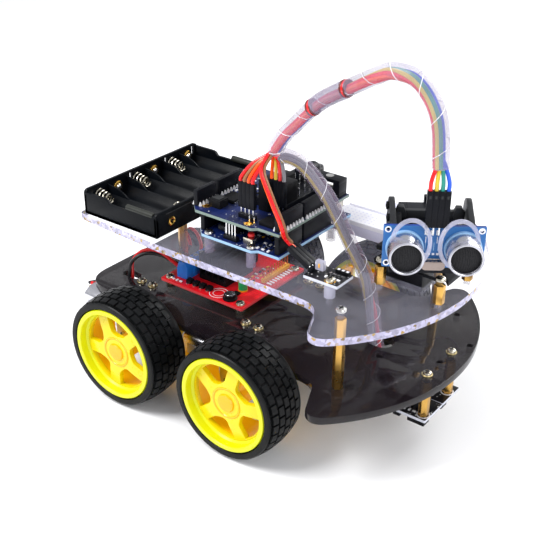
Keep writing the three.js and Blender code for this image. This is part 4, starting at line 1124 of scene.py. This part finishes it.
def make_receiver_plug():
    """Three black housings on slanted pins at the receiver's tail edge."""
    foot = box_mm("ir_receiver_board")[0] + Vector((1.2, 7.5, 3.4))
    plug = Piece("receiver_lead_plug", Matrix.Translation(foot) @ Matrix.Rotation(math.radians(28), 4, "Y"))
    for pin in (-1, 0, 1):
        y = pin * PIN
        plug.box((-15.2, y - 1.21, -1.3), (-1.2, y + 1.21, 1.3), "black", 0.15)
        plug.box((-4.6, y - 0.5, 1.25), (-3.0, y + 0.5, 1.35), "chip", 0)
        plug.box((-2, y - 0.32, -0.32), (0.3, y + 0.32, 0.32), "solder", 0)
    return plug.finish("chassis", "ir_receiver_plug", slot="black_plastic")


def make_breadboard():
    """White block with a middle groove, a locking edge and a grid of square holes. Below its white top the
    block is a lilac painted shade on the sides, the groove floor and the locking edge, and the holes are flat
    squares of painted shade.
    """
    low, high = box_mm("breadboard")
    block = Piece("mini_breadboard")
    split = low.y + 16.6
    # The lilac body is painted shade: the white plastic's sides and groove floor drawn darker.
    block.box((low.x, low.y, low.z), (high.x, high.y - 5.4, high.z - 2.4), "lilac", 0.3)
    for y0, y1 in ((low.y, split), (split + 2.4, high.y - 5.4)):
        block.box((low.x, y0, high.z - 2.6), (high.x, y1, high.z), "white", 0.3)
    block.box((low.x, high.y - 6, low.z + 0.2), (high.x - 3, high.y, high.z), "lilac", 0.3)
    # Painted shade: each hole is a flat lilac square, not an opening.
    for column in range(17):
        x = low.x + 3.2 + column * PIN
        for start in (low.y + 2.6, split + 4.6):
            for row in range(5):
                y = start + row * PIN
                block.post(x, y, high.z - 0.2, high.z + 0.02, 0.42, "lilac")
    block.finish("chassis", "breadboard", slot="white_plastic")


# ---------------------------------------------------------------- pan and tilt head

HEAD_ANGLE = math.radians(-55)
PAN_AXIS = Vector(next(joint for joint in frame["joints"] if joint["name"] == "head_pan")["pos_m"]) * 1000
HEAD = Matrix.Translation((PAN_AXIS.x, PAN_AXIS.y, 0)) @ Matrix.Rotation(HEAD_ANGLE, 4, "Z")
TILT_FORWARD, TILT_Z = 20, 132
HEAD_FLOOR = 120.5


def micro_servo(piece, look="black"):
    """Case, flange, gear dome and output shaft of a micro servo, its shaft up the z axis."""
    rear, front, half = -16.8, 5.9, 6.1
    piece.box((rear, -half, -15.9), (front, half, 6.5), look, 0.4)
    piece.box((rear + 0.2, -half - 0.05, -12.2), (front - 0.2, half + 0.05, -11.9), "chip", 0)
    piece.box((rear - 4.7, -half, 0.0), (front + 4.7, half, 2.5), look, 0.4)
    piece.rod((0, 0, 6.4), (0, 0, 10.4), 5.9, look, 32, bevel=0.4)
    piece.rod((-6.2, 0, 6.4), (-6.2, 0, 10.2), 2.9, look, 24, bevel=0.3)
    piece.rod((0, 0, 10.3), (0, 0, 14.9), 2.4, "white", 24, bevel=0.2)


def make_pan_base():
    low, high = box_mm("pan_base")
    deck_top = low.z
    z0 = deck_top + 10
    plate = Piece("pan_base_plate")
    well = rectangle(PAN_AXIS.x - 17.1, -6.4, PAN_AXIS.x + 6.2, 6.4)
    plate.prism(rounded(low.x, low.y, high.x, high.y, 4), z0, high.z, "black", [well], bevel=0.35)
    for side in (-1, 1):
        plate.box((low.x + 3, side * 16.4 - 0.9, high.z - 0.2), (high.x - 3, side * 16.4 + 0.9, high.z + 0.8),
                  "black", 0.3)
    for x, y in PAN_MOUNTS:
        spot = x + MIDDLE_X
        plate.rod((spot, y, deck_top), (spot, y, z0), SPACER, "brass", 6, bevel=0.2)
        plate.screw((spot, y, high.z), "nickel", 2.7)
    plate.finish("chassis", "pan_base", slot="black_plastic")

    servo = Piece("pan_micro_servo", Matrix.Translation((PAN_AXIS.x, 0, high.z)))
    micro_servo(servo)
    servo.finish("chassis", "pan_servo", slot="black_plastic")


def make_pan_bracket():
    forward, z = TILT_FORWARD, TILT_Z
    bracket = Piece("turning_bracket", HEAD)
    bracket.prism(rounded(-9, -15.8, 30.5, 13, 2), HEAD_FLOOR - 2.5, HEAD_FLOOR, "black", bevel=0.3)
    bracket.rod((0, 0, HEAD_FLOOR - 5.1), (0, 0, HEAD_FLOOR - 2.4), 8, "black", 32, bevel=0.3)
    cheek = [(forward - 7, HEAD_FLOOR - 0.1), (forward + 7, HEAD_FLOOR - 0.1)]
    cheek += arc((forward, z), 7, 0, 180, 16)
    bracket.prism(cheek, -15.8, -13.2, "grey", axis="y", bevel=0.3)
    bracket.rod((forward, -18.7, z), (forward, -15.7, z), 2, "black", 20)
    for x in (-1, 26.4):
        bracket.box((x, -0.4, HEAD_FLOOR - 0.1), (x + 3.6, 2.7, z + 6), "black", 0.3)
    bar = rounded(-16.2, z + 3.4, 16.2, z + 7.2, 0.4)
    bracket.prism(bar, forward - 1.2, forward + 1.2, "grey", axis="x", bevel=0.3)
    for side in (-1, 1):
        nut = [(side * 13.4 + 2.8 * across, z + 5.2 + 4.6 * level) for across, level in circle((0, 0), 1, 6)]
        bracket.prism(nut, forward - 1.8, forward + 1.8, "grey", axis="x", bevel=0.4)
    bracket.finish("pan_head", "pan_bracket", slot="black_plastic")

    lying = Matrix.Translation((TILT_FORWARD, 3, TILT_Z - 2.5)) @ Matrix.Rotation(-math.pi / 2, 4, "X")
    servo = Piece("tilt_micro_servo", HEAD @ lying)
    micro_servo(servo)
    servo.finish("pan_head", "tilt_servo", slot="black_plastic")


def make_tilt_frame():
    """Front plate with a rounded arm on each side, and the studs on the arms."""
    forward, z = TILT_FORWARD, TILT_Z
    tilt = Piece("tilting_frame", HEAD)
    arm = [(38.6, 116), (38.6, 138)] + arc((forward, z + 6), 7, 60, 180, 14)
    arm += arc((forward, z), 7, 180, 270, 8) + [(36, 116)]
    for start, end, bore in ((-19, -16.4, 2.4), (16.4, 19, 2.8)):
        tilt.prism(arm, start, end, "grey", [circle((forward, z), bore)], axis="y", bevel=0.35)
    tilt.prism(rounded(-19, 116, 19, 138, 1.5), 36.2, 38.6, "black", axis="x", bevel=0.3)
    tilt.lathe([(1.2, 18.9), (5.4, 18.9), (5.4, 20.4), (4.9, 20.9), (1.2, 20.9)], "black",
               (forward, 0, z), "y", 28)
    for x, height in ((forward + 1, z + 9.5), (forward + 6.5, z + 6), (forward + 11, z + 3.2)):
        tilt.rod((x, -20.3, height), (x, -18.9, height), 1.9, "chip", 16, bevel=0.4)
        tilt.rod((x, -20.5, height), (x, -20.2, height), 0.8, "black", 6)
    for x, height in ((forward + 12, z - 9), (forward + 12, z + 1.5)):
        tilt.rod((x, 18.9, height), (x, 20.0, height), 1.7, "chip", 16, bevel=0.3)
    tilt.finish("tilt_head", "tilt_frame", slot="black_plastic")


def make_ultrasonic():
    x0, z0, width, height = 41.4, 121.3, 45.4, 20.5
    face = x0 + BOARD
    board = Piece("ultrasonic_module", HEAD)
    corners = [(side * (width / 2 - 2), level) for side in (-1, 1) for level in (z0 + 2, z0 + height - 2)]
    holes = [circle(corner, 0.9, 14) for corner in corners]
    board.prism(rounded(-width / 2, z0, width / 2, z0 + height, 0.5), x0, face, "blue_board", holes,
                axis="x", bevel=0.08)
    for corner in corners:
        board.lathe([(0.9, 0), (1.5, 0), (1.5, 0.06), (0.9, 0.06)], "silk", (face, *corner), "x", 20)
    # Quartz can between the transducers.
    can = arc((3.2, 0), 2.1, -90, 90, 10) + arc((-3.2, 0), 2.1, 90, 270, 10)
    can = [(y, z0 + 2.4 + level) for y, level in can]
    board.prism(can, face, face + 3.6, "bronze", axis="x", bevel=0.5)
    rim = [(y * 1.08, z0 + 2.4 + (level - z0 - 2.4) * 1.12) for y, level in can]
    board.prism(rim, face, face + 0.8, "solder", axis="x", bevel=0.1)
    # Bent pins under the plug, and their white marks.
    top = z0 + height
    for pin in range(4):
        y = (pin - 1.5) * PIN
        board.box((face, y - 0.32, top - 3.4), (face + 2.6, y + 0.32, top - 2.8), "solder", 0)
        board.box((face + 2.0, y - 0.32, top - 3.4), (face + 2.6, y + 0.32, top + 1.4), "solder", 0)
        board.box((face, y - 0.75, top - 4.2), (face + 0.3, y + 0.75, top - 2), "silk", 0.1)
        board.box((face, y - 0.15, top - 8.4), (face + 0.05, y + 0.15, top - 5.2), "silk", 0)
    for mark in range(5):
        y = -3.8 + mark * 1.9
        board.box((face, y - 0.55, z0 + 6.2), (face + 0.05, y + 0.55, z0 + 7.2), "silk", 0)
        board.box((face, y - 0.12, z0 + 8.5), (face + 0.05, y + 0.12, z0 + 12.5), "navy", 0)
    board.box((face - 0.1, -5.4, top - 0.3), (face + 1.2, 5.4, top + 0.2), "silk", 0.1)
    board.box((x0 - 2.4, -12, z0 + 4), (x0, 12, z0 + 12), "chip", 0.3)
    board.finish("tilt_head", "ultrasonic_board", slot="blue_board")

    centre_z = z0 + height / 2 - 0.4
    for name, y in (("right", -13), ("left", 13)):
        can = Piece(f"transducer_can_{name}", HEAD)
        spot = (face, y, centre_z)
        can.lathe([(0, 0), (8.0, 0), (8.0, 11.3), (7.8, 11.9), (7.3, 12.1), (6.9, 11.9), (6.7, 11.3),
                   (6.7, 9.4), (0, 9.4)], "aluminium", spot, "x", 64)
        can.lathe([(6.7, 11.4), (7.3, 12.15), (7.9, 11.9), (7.9, 11.3), (7.3, 11.2)], "pale_metal", spot,
                  "x", 64)
        can.lathe([(0, 9.3), (6.65, 9.3), (6.6, 9.9), (4.0, 10.5), (0, 10.8)], "gauze", spot, "x", 48)
        can.lathe([(7.9, 0), (8.5, 0), (8.5, 1.6), (7.9, 1.6)], "collar", spot, "x", 48)
        tie, loop = ([(y * 0.82 + wide * across, centre_z + 3.2 + (wide + 3.0) * up)
                      for across, up in circle((0, 0), 1, 48)] for wide in (9.4, 7.5))
        can.prism(tie, face + 2.6, face + 3.6, "tie", [loop], axis="x", bevel=0.2)
        can.finish("tilt_head", f"transducer_{name}", slot="bright_aluminium")

    x = face + 0.7
    z = z0 + height + 0.4
    plug_top = box_mm("head_plug")[1].z
    plug = Piece("head_plug_housing", HEAD)
    for pin in range(4):
        y = (pin - 1.5) * 2.6
        plug.box((x - 0.8, y - PIN / 2, z), (x + 2.2, y + PIN / 2, plug_top), "black", 0.15)
        plug.box((x + 2.1, y - 0.5, z + 1.5), (x + 2.3, y + 0.5, z + 3.2), "chip", 0)
        plug.box((x + 2.1, y - 0.5, plug_top - 3.4), (x + 2.3, y + 0.5, plug_top - 2), "grey", 0)
    return plug.finish("tilt_head", "head_plug", slot="black_plastic")


# ---------------------------------------------------------------- line sensors


def make_line_sensor(side):
    node = f"line_sensor_{side}"
    low, high = box_mm(node)
    deck = box_mm("bottom_plate")[0].z
    x0, x1 = low.x, high.x
    top = 23.0
    z = top - BOARD
    hole_x, hole_y = SENSOR_HOLES[0 if side == "right" else 1]
    standoff = (hole_x + MIDDLE_X, hole_y)
    board = Piece(f"line_sensor_board_{side}")
    outline = rounded(x0, low.y, x1, high.y, 0.6)
    board.prism(outline, z, top, "black_board", [circle(standoff, 1.6)], bevel=0.1)
    board.rod((*standoff, top), (*standoff, deck), SPACER, "brass", 6, bevel=0.2)
    board.ring(standoff, 2.9, 3.7, top, top + 0.1, "silk", 28)
    board.screw((*standoff, z), "nickel", 2.6, up=-1)
    small_parts(board, x0 + 2, x1 - 7, low.y + 2, high.y - 3, top, 4, 4, ("silk", "solder", "chip"))
    board.box((x0 + 1, low.y + 1, z - 3), (x0 + 5, low.y + 9, z), "black", 0.2)
    board.box((x1 - 13, low.y + 5, z - 6.5), (x1 - 3, low.y + 11, z), "chip", 0.3)
    for pin in range(3):
        y = low.y + 2.4 + pin * PIN
        board.box((x0 - 1.6, y - 0.3, z - 1.8), (x0 + 1.2, y + 0.3, z - 1.2), "solder", 0)
    board.finish("chassis", node, slot="black_board")


# ---------------------------------------------------------------- cords


HARNESS = 8.0  # diameter of a wrapped harness
LEAD = 3.6  # diameter of a lead


def cord_length(line):
    return sum((b - a).length for a, b in zip(line, line[1:])) / 1000


def in_mm(route):
    """A route given in metres from the middle of the wheelbase, in the row frame and millimetres."""
    return [FROM_MIDDLE @ (Vector(point) * 1000) for point in route]


HEAD_HARNESS = [
    (0.031, -0.0278, 0.1521), (0.037, -0.0282, 0.161),
    (0.0446, -0.0289, 0.1692), (0.0587, -0.0301, 0.1833), (0.0739, -0.0313, 0.193),
    (0.0911, -0.0328, 0.203), (0.0986, -0.0334, 0.206), (0.1088, -0.0342, 0.2055),
    (0.1168, -0.0349, 0.2), (0.123, -0.0354, 0.189), (0.1258, -0.0357, 0.1695),
]
LINE_HARNESS = [
    (0.0295, -0.0205, 0.1464), (0.0323, -0.0185, 0.1466), (0.0374, -0.0155, 0.1441),
    (0.0423, -0.0132, 0.1395), (0.047, -0.0115, 0.1336), (0.0513, -0.01, 0.1277),
    (0.0564, -0.0085, 0.1188), (0.0608, -0.0074, 0.1102), (0.0652, -0.0065, 0.102),
    (0.069, -0.0055, 0.095), (0.0735, -0.0035, 0.084), (0.077, -0.002, 0.068),
    (0.079, -0.001, 0.054), (0.082, -0.0015, 0.042), (0.088, -0.005, 0.034),
    (0.095, -0.0095, 0.029), (0.0994, -0.0122, 0.0256),
]
RECEIVER_LEAD = [
    (0.0294, -0.0315, 0.1486), (0.0299, -0.0354, 0.1459), (0.0322, -0.0386, 0.1433),
    (0.036, -0.041, 0.1399), (0.0399, -0.0428, 0.1358), (0.0439, -0.044, 0.1304),
    (0.047, -0.044, 0.1249), (0.048, -0.0426, 0.1195), (0.0476, -0.0405, 0.115),
    (0.048, -0.0386, 0.1122), (0.0491, -0.0377, 0.1106),
]
BATTERY_LEAD = [
    (-0.0013, 0.0586, 0.108), (-0.0013, 0.0625, 0.1066), (-0.0035, 0.0645, 0.1015),
    (-0.009, 0.0625, 0.0965), (-0.017, 0.057, 0.0948), (-0.023, 0.049, 0.0948),
    (-0.027, 0.0415, 0.0956), (-0.0302, 0.036, 0.0975),
]


def motor_leads(side):
    return [
        (-0.0456, side * 0.009 - 0.0051, 0.0564), (-0.052, side * 0.013 - 0.002, 0.059),
        (-0.062, side * 0.0165, 0.062), (-0.071, side * 0.02, 0.061), (-0.0765, side * 0.024, 0.055),
        (-0.076, side * 0.0265, 0.048), (-0.076, side * 0.0275, 0.041), (-0.082, side * 0.029, 0.036),
        (-0.091, side * 0.0302, 0.035), (-0.097, side * 0.0325, 0.037), (-0.0976, side * 0.0396, 0.0399),
    ]


def beside(line, reach, phase, twist=0.0):
    """A line that keeps its distance from another one. `twist` turns it round that one."""
    wound = []
    length = 0.0
    whole = cord_length(line) * 1000
    for index, (point, (across, up)) in enumerate(zip(line, line_frames(line))):
        length += (point - line[index - 1]).length if index else 0.0
        angle = phase + (twist(length / whole) if callable(twist) else twist * length)
        wound.append(point + (across * math.cos(angle) + up * math.sin(angle)) * reach)
    return wound


def half_turn(share):
    """The bundle keeps its side for the first half, then rolls round to show the other wires."""
    eased = max(0.0, min(1.0, (share - 0.5) / 0.25))
    return math.radians(100) * eased * eased * (3 - 2 * eased)


def wrapped_harness(name, node, route, wires, inside, gaps=(), seam_pitch=15.0, bends_to=None):
    """A see-through spiral strip round a bundle of wires, which show bare where the strip parts.

    The bundle lies against the inner side of the bend, towards the point `inside`.
    """
    line = smooth_line(in_mm(route), 12)
    wrap = Piece(name)
    wrap.tube(line, HARNESS / 2, "wrap", sides=24, steps=1)
    wrap.tube(beside(line, HARNESS / 2 - 0.05, 0, 2 * math.pi / seam_pitch), 0.17, "silk", sides=6, steps=1)
    if len(gaps) == 2:
        wrap.tube(line[gaps[0] + 1:gaps[1]], HARNESS / 2 + 0.35, "wrap", sides=24, steps=1)
    for start in gaps:
        ahead = (line[start + 1] - line[start]).normalized()
        lean = (ahead + Vector((0, 0, -0.35))).normalized()
        bands = ((-1.2, 0.6, "wire_dark"), (-0.1, 0.5, "wire_red"), (0.8, 0.4, "wire_dark"))
        for offset, half, look in bands:
            middle = line[start] + lean * offset
            wrap.rod(middle - lean * half, middle + lean * half, HARNESS / 2 + 0.1, look, 24, bevel=0.1)
    made = wrap.finish("chassis", node, slot="clear_wrap", bends_to=bends_to)
    centre = FROM_MIDDLE @ Vector(inside)
    core = [point + (centre - point).normalized() * 0.95 for point in line]
    bundle = Piece(f"{name}_wires")
    for look, phase in wires:
        inner = beside(core, 1.75, math.radians(phase), half_turn)
        bundle.tube(inner[::3] + [inner[-1]], 1.05, look, sides=8, steps=2)
    return made, bundle.finish("chassis", bends_to=bends_to), line


def fan_out(name, body, strands, bends_to=None):
    """Single wires between a plug and the end of a harness."""
    fan = Piece(name)
    for look, points in strands:
        fan.tube(points, 0.95, look, sides=10, steps=8)
    return fan.finish(body, bends_to=bends_to)


def plug_strands(node, looks, line, rise):
    """Wires that leave a plug straight up and sweep into the start of a harness."""
    low, high = box_mm(node)
    ahead = (line[4] - line[0]).normalized()
    strands = []
    for pin, look in enumerate(looks):
        foot = Vector((low.x + (pin + 0.5) * (high.x - low.x) / len(looks), (low.y + high.y) / 2, high.z))
        mouth = line[0] - ahead * 2 + Vector((pin - 1.5, 0.6 * (pin % 2) - 0.3, 0)) * 0.8
        swell = foot.lerp(mouth, 0.42) + Vector((0, 0, rise * 0.55))
        neck = foot + Vector((0, 0, 0.35 * rise))
        strands.append((look, [foot - Vector((0, 0, 1)), neck, swell, mouth, line[5]]))
    return strands


def make_head_harness(head_plug, shield_plug):
    """The harness and its bare wires at both plugs; the wrap, its bundle and the far wires are baked in place
    and move with no body, and the near wires move with the chassis.
    """
    wires = [("wire_red", 30), ("wire_orange", -12), ("wire_red", -58), ("wire_mustard", -112),
             ("wire_green", -158), ("wire_blue", -206)]
    crown, wrap_end = in_mm([HEAD_HARNESS[4], HEAD_HARNESS[-1]])
    wrap, bundle, line = wrapped_harness("head_harness_wrap", "head_harness", HEAD_HARNESS, wires,
                                         (88, -33, 160), (33, 48), bends_to=("pan_head", crown, wrap_end))
    looks = ("wire_red", "wire_brown", "wire_orange", "wire_red")
    near = fan_out("head_harness_near_wires", "chassis", plug_strands("shield_plug_head", looks, line, 6))
    plug_top = box_mm("head_plug")[1].z
    end = line[-1]
    middle = HEAD @ Vector((44.5, 0, 0))
    strands = []
    for pin, look in enumerate(("wire_red", "wire_mustard", "wire_green", "wire_blue")):
        y = (1.5 - pin) * -2.6
        foot = HEAD @ Vector((44.4, y, plug_top - 1))
        neck = HEAD @ Vector((44.4, y, plug_top + 4))
        spread = (foot - middle) * 0.5
        spread.z = 0
        strands.append((look, [foot, neck, end + spread + Vector((0, 0, 0.5)), line[-3] + spread * 0.5]))
    far = fan_out("head_harness_far_wires", "pan_head", strands,
                  ("tilt_head", end, HEAD @ Vector((44.4, 0, plug_top))))
    return line


def make_line_harness(shield_plug):
    wires = [("wire_mustard", 45), ("wire_grey", -10), ("wire_grey", -75), ("wire_red", 165)]
    wrap, bundle, line = wrapped_harness("line_harness_wrap", "line_harness", LINE_HARNESS, wires,
                                         (38, -10, 105))
    looks = ("wire_orange", "wire_mustard", "wire_red", "wire_grey")
    near = fan_out("line_harness_near_wires", "chassis", plug_strands("shield_plug_line", looks, line, 9))


def make_receiver_lead(head_line, plug):
    """Three wires side by side, which part from the head harness at the start of its wrap."""
    line = smooth_line(in_mm(RECEIVER_LEAD), 8)
    ribbon = (("wire_red", 0), ("wire_orange", 120), ("wire_brown", 240))
    lead = Piece("receiver_lead_wires")
    wires = [(look, beside(line, 0.95, math.radians(phase))) for look, phase in ribbon]
    for look, wire in wires:
        lead.tube(wire, 0.85, look, sides=10, steps=1)
    made = lead.finish("chassis", "ir_receiver_lead", slot="wire_insulation")
    joins = []
    for (look, wire), shift in zip(wires, (0, 0.8, -0.8)):
        start = wire[0]
        joins.append((look, [start + Vector((0, -0.3, -0.2)), start + Vector((0.2, 1.6, 1.4)),
                             head_line[2] + Vector((0, shift, 0)), head_line[9] + Vector((0, shift, 0))]))
    top = fan_out("receiver_lead_join", "chassis", joins)
    tail = fan_out("receiver_lead_ends", "chassis",
                   [(look, [wire[-2], line[-1] + Vector((0.5, 0, -0.4)),
                            line[-1] + Vector((3.2, 0.3 * index, -2.0))])
                    for index, (look, wire) in enumerate(wires)])


def make_plug_and_leads():
    low, high = box_mm("dc_plug")
    middle = (low + high) / 2
    base = (middle.x, 0, middle.z)
    plug = Piece("power_plug")
    plug.lathe([(0, low.y), (4.2, low.y), (5.0, low.y + 1), (5.0, high.y - 5), (4.6, high.y - 2.5),
                (3.4, high.y - 0.6), (0, high.y)], "black", base, "y", 40)
    for ring in range(4):
        y = high.y - 14 + ring * 2.2
        plug.lathe([(4.6, y), (5.15, y + 0.3), (5.15, y + 1.0), (4.6, y + 1.3)], "black", base, "y", 40)
    power_plug = plug.finish("chassis", "dc_plug", slot="black_plastic")

    line = smooth_line(in_mm(BATTERY_LEAD), 8)
    lead = Piece("battery_lead_cord")
    lead.tube(line, LEAD / 2, "wire_black", sides=14, steps=1)
    made = lead.finish("chassis", "battery_lead", slot="black_plastic")

    for side, name in ((-1, "right"), (1, "left")):
        line = smooth_line(in_mm(motor_leads(side)), 8)
        pair = Piece(f"motor_lead_pair_{name}")
        for phase, look in ((0, "wire_red"), (math.pi, "wire_black")):
            pair.tube(beside(line, 1.1, phase, 0.09), 1.05, look, sides=10, steps=1)
        made = pair.finish("chassis", f"motor_leads_{name}", slot="wire_insulation")


# ---------------------------------------------------------------- the robot

head_line = make_head_harness(make_ultrasonic(), make_jumper_plug("shield_plug_head", "head_lead_plug", 3.3))
make_line_harness(make_jumper_plug("shield_plug_line", "line_lead_plug", 1.3))
make_receiver_lead(head_line, make_receiver_plug())
make_plug_and_leads()
make_decks()
make_deck_screws()
make_pillars()
make_drive_units()
make_battery_holder()
make_controller()
make_shield()
make_driver()
make_ir_receiver()
make_breadboard()
make_pan_base()
make_pan_bracket()
make_tilt_frame()
make_line_sensor("right")
make_line_sensor("left")

# ---------------------------------------------------------------- stage and light


def make_stage():
    floor_look = Look("floor", 0.85)
    dark, light = (0.93, 0.93, 0.935), (0.96, 0.96, 0.965)
    floor_look.color(floor_look.ramp(floor_look.noise(3, 2), (0.3, dark), (0.7, light)))
    bpy.ops.mesh.primitive_plane_add(size=12, location=(0, 0, -0.0003))
    floor = bpy.context.object
    floor.name = "floor"
    floor.data.materials.append(floor_look.material)


def add_light(name, place, target, size, power, color=(1, 1, 1)):
    data = bpy.data.lights.new(name, "AREA")
    data.size = size
    data.energy = power
    data.color = color
    light = bpy.data.objects.new(name, data)
    light.location = place
    light.rotation_euler = (Vector(target) - Vector(place)).to_track_quat("-Z", "Y").to_euler()
    scene.collection.objects.link(light)


def make_lights():
    world = bpy.data.worlds.new("studio")
    world.use_nodes = True
    world.node_tree.nodes["Background"].inputs["Color"].default_value = (0.95, 0.96, 1.0, 1)
    world.node_tree.nodes["Background"].inputs["Strength"].default_value = 0.62
    scene.world = world
    add_light("key", (-0.45, -0.6, 0.9), (0, 0, 0.06), 0.5, 13.0)
    add_light("fill", (0.9, -0.3, 0.5), (0, 0, 0.08), 0.7, 5.0)
    add_light("back", (0.2, 0.9, 0.7), (0, 0, 0.1), 0.6, 9.0)


make_stage()
make_lights()
scene.view_settings.view_transform = "Standard"
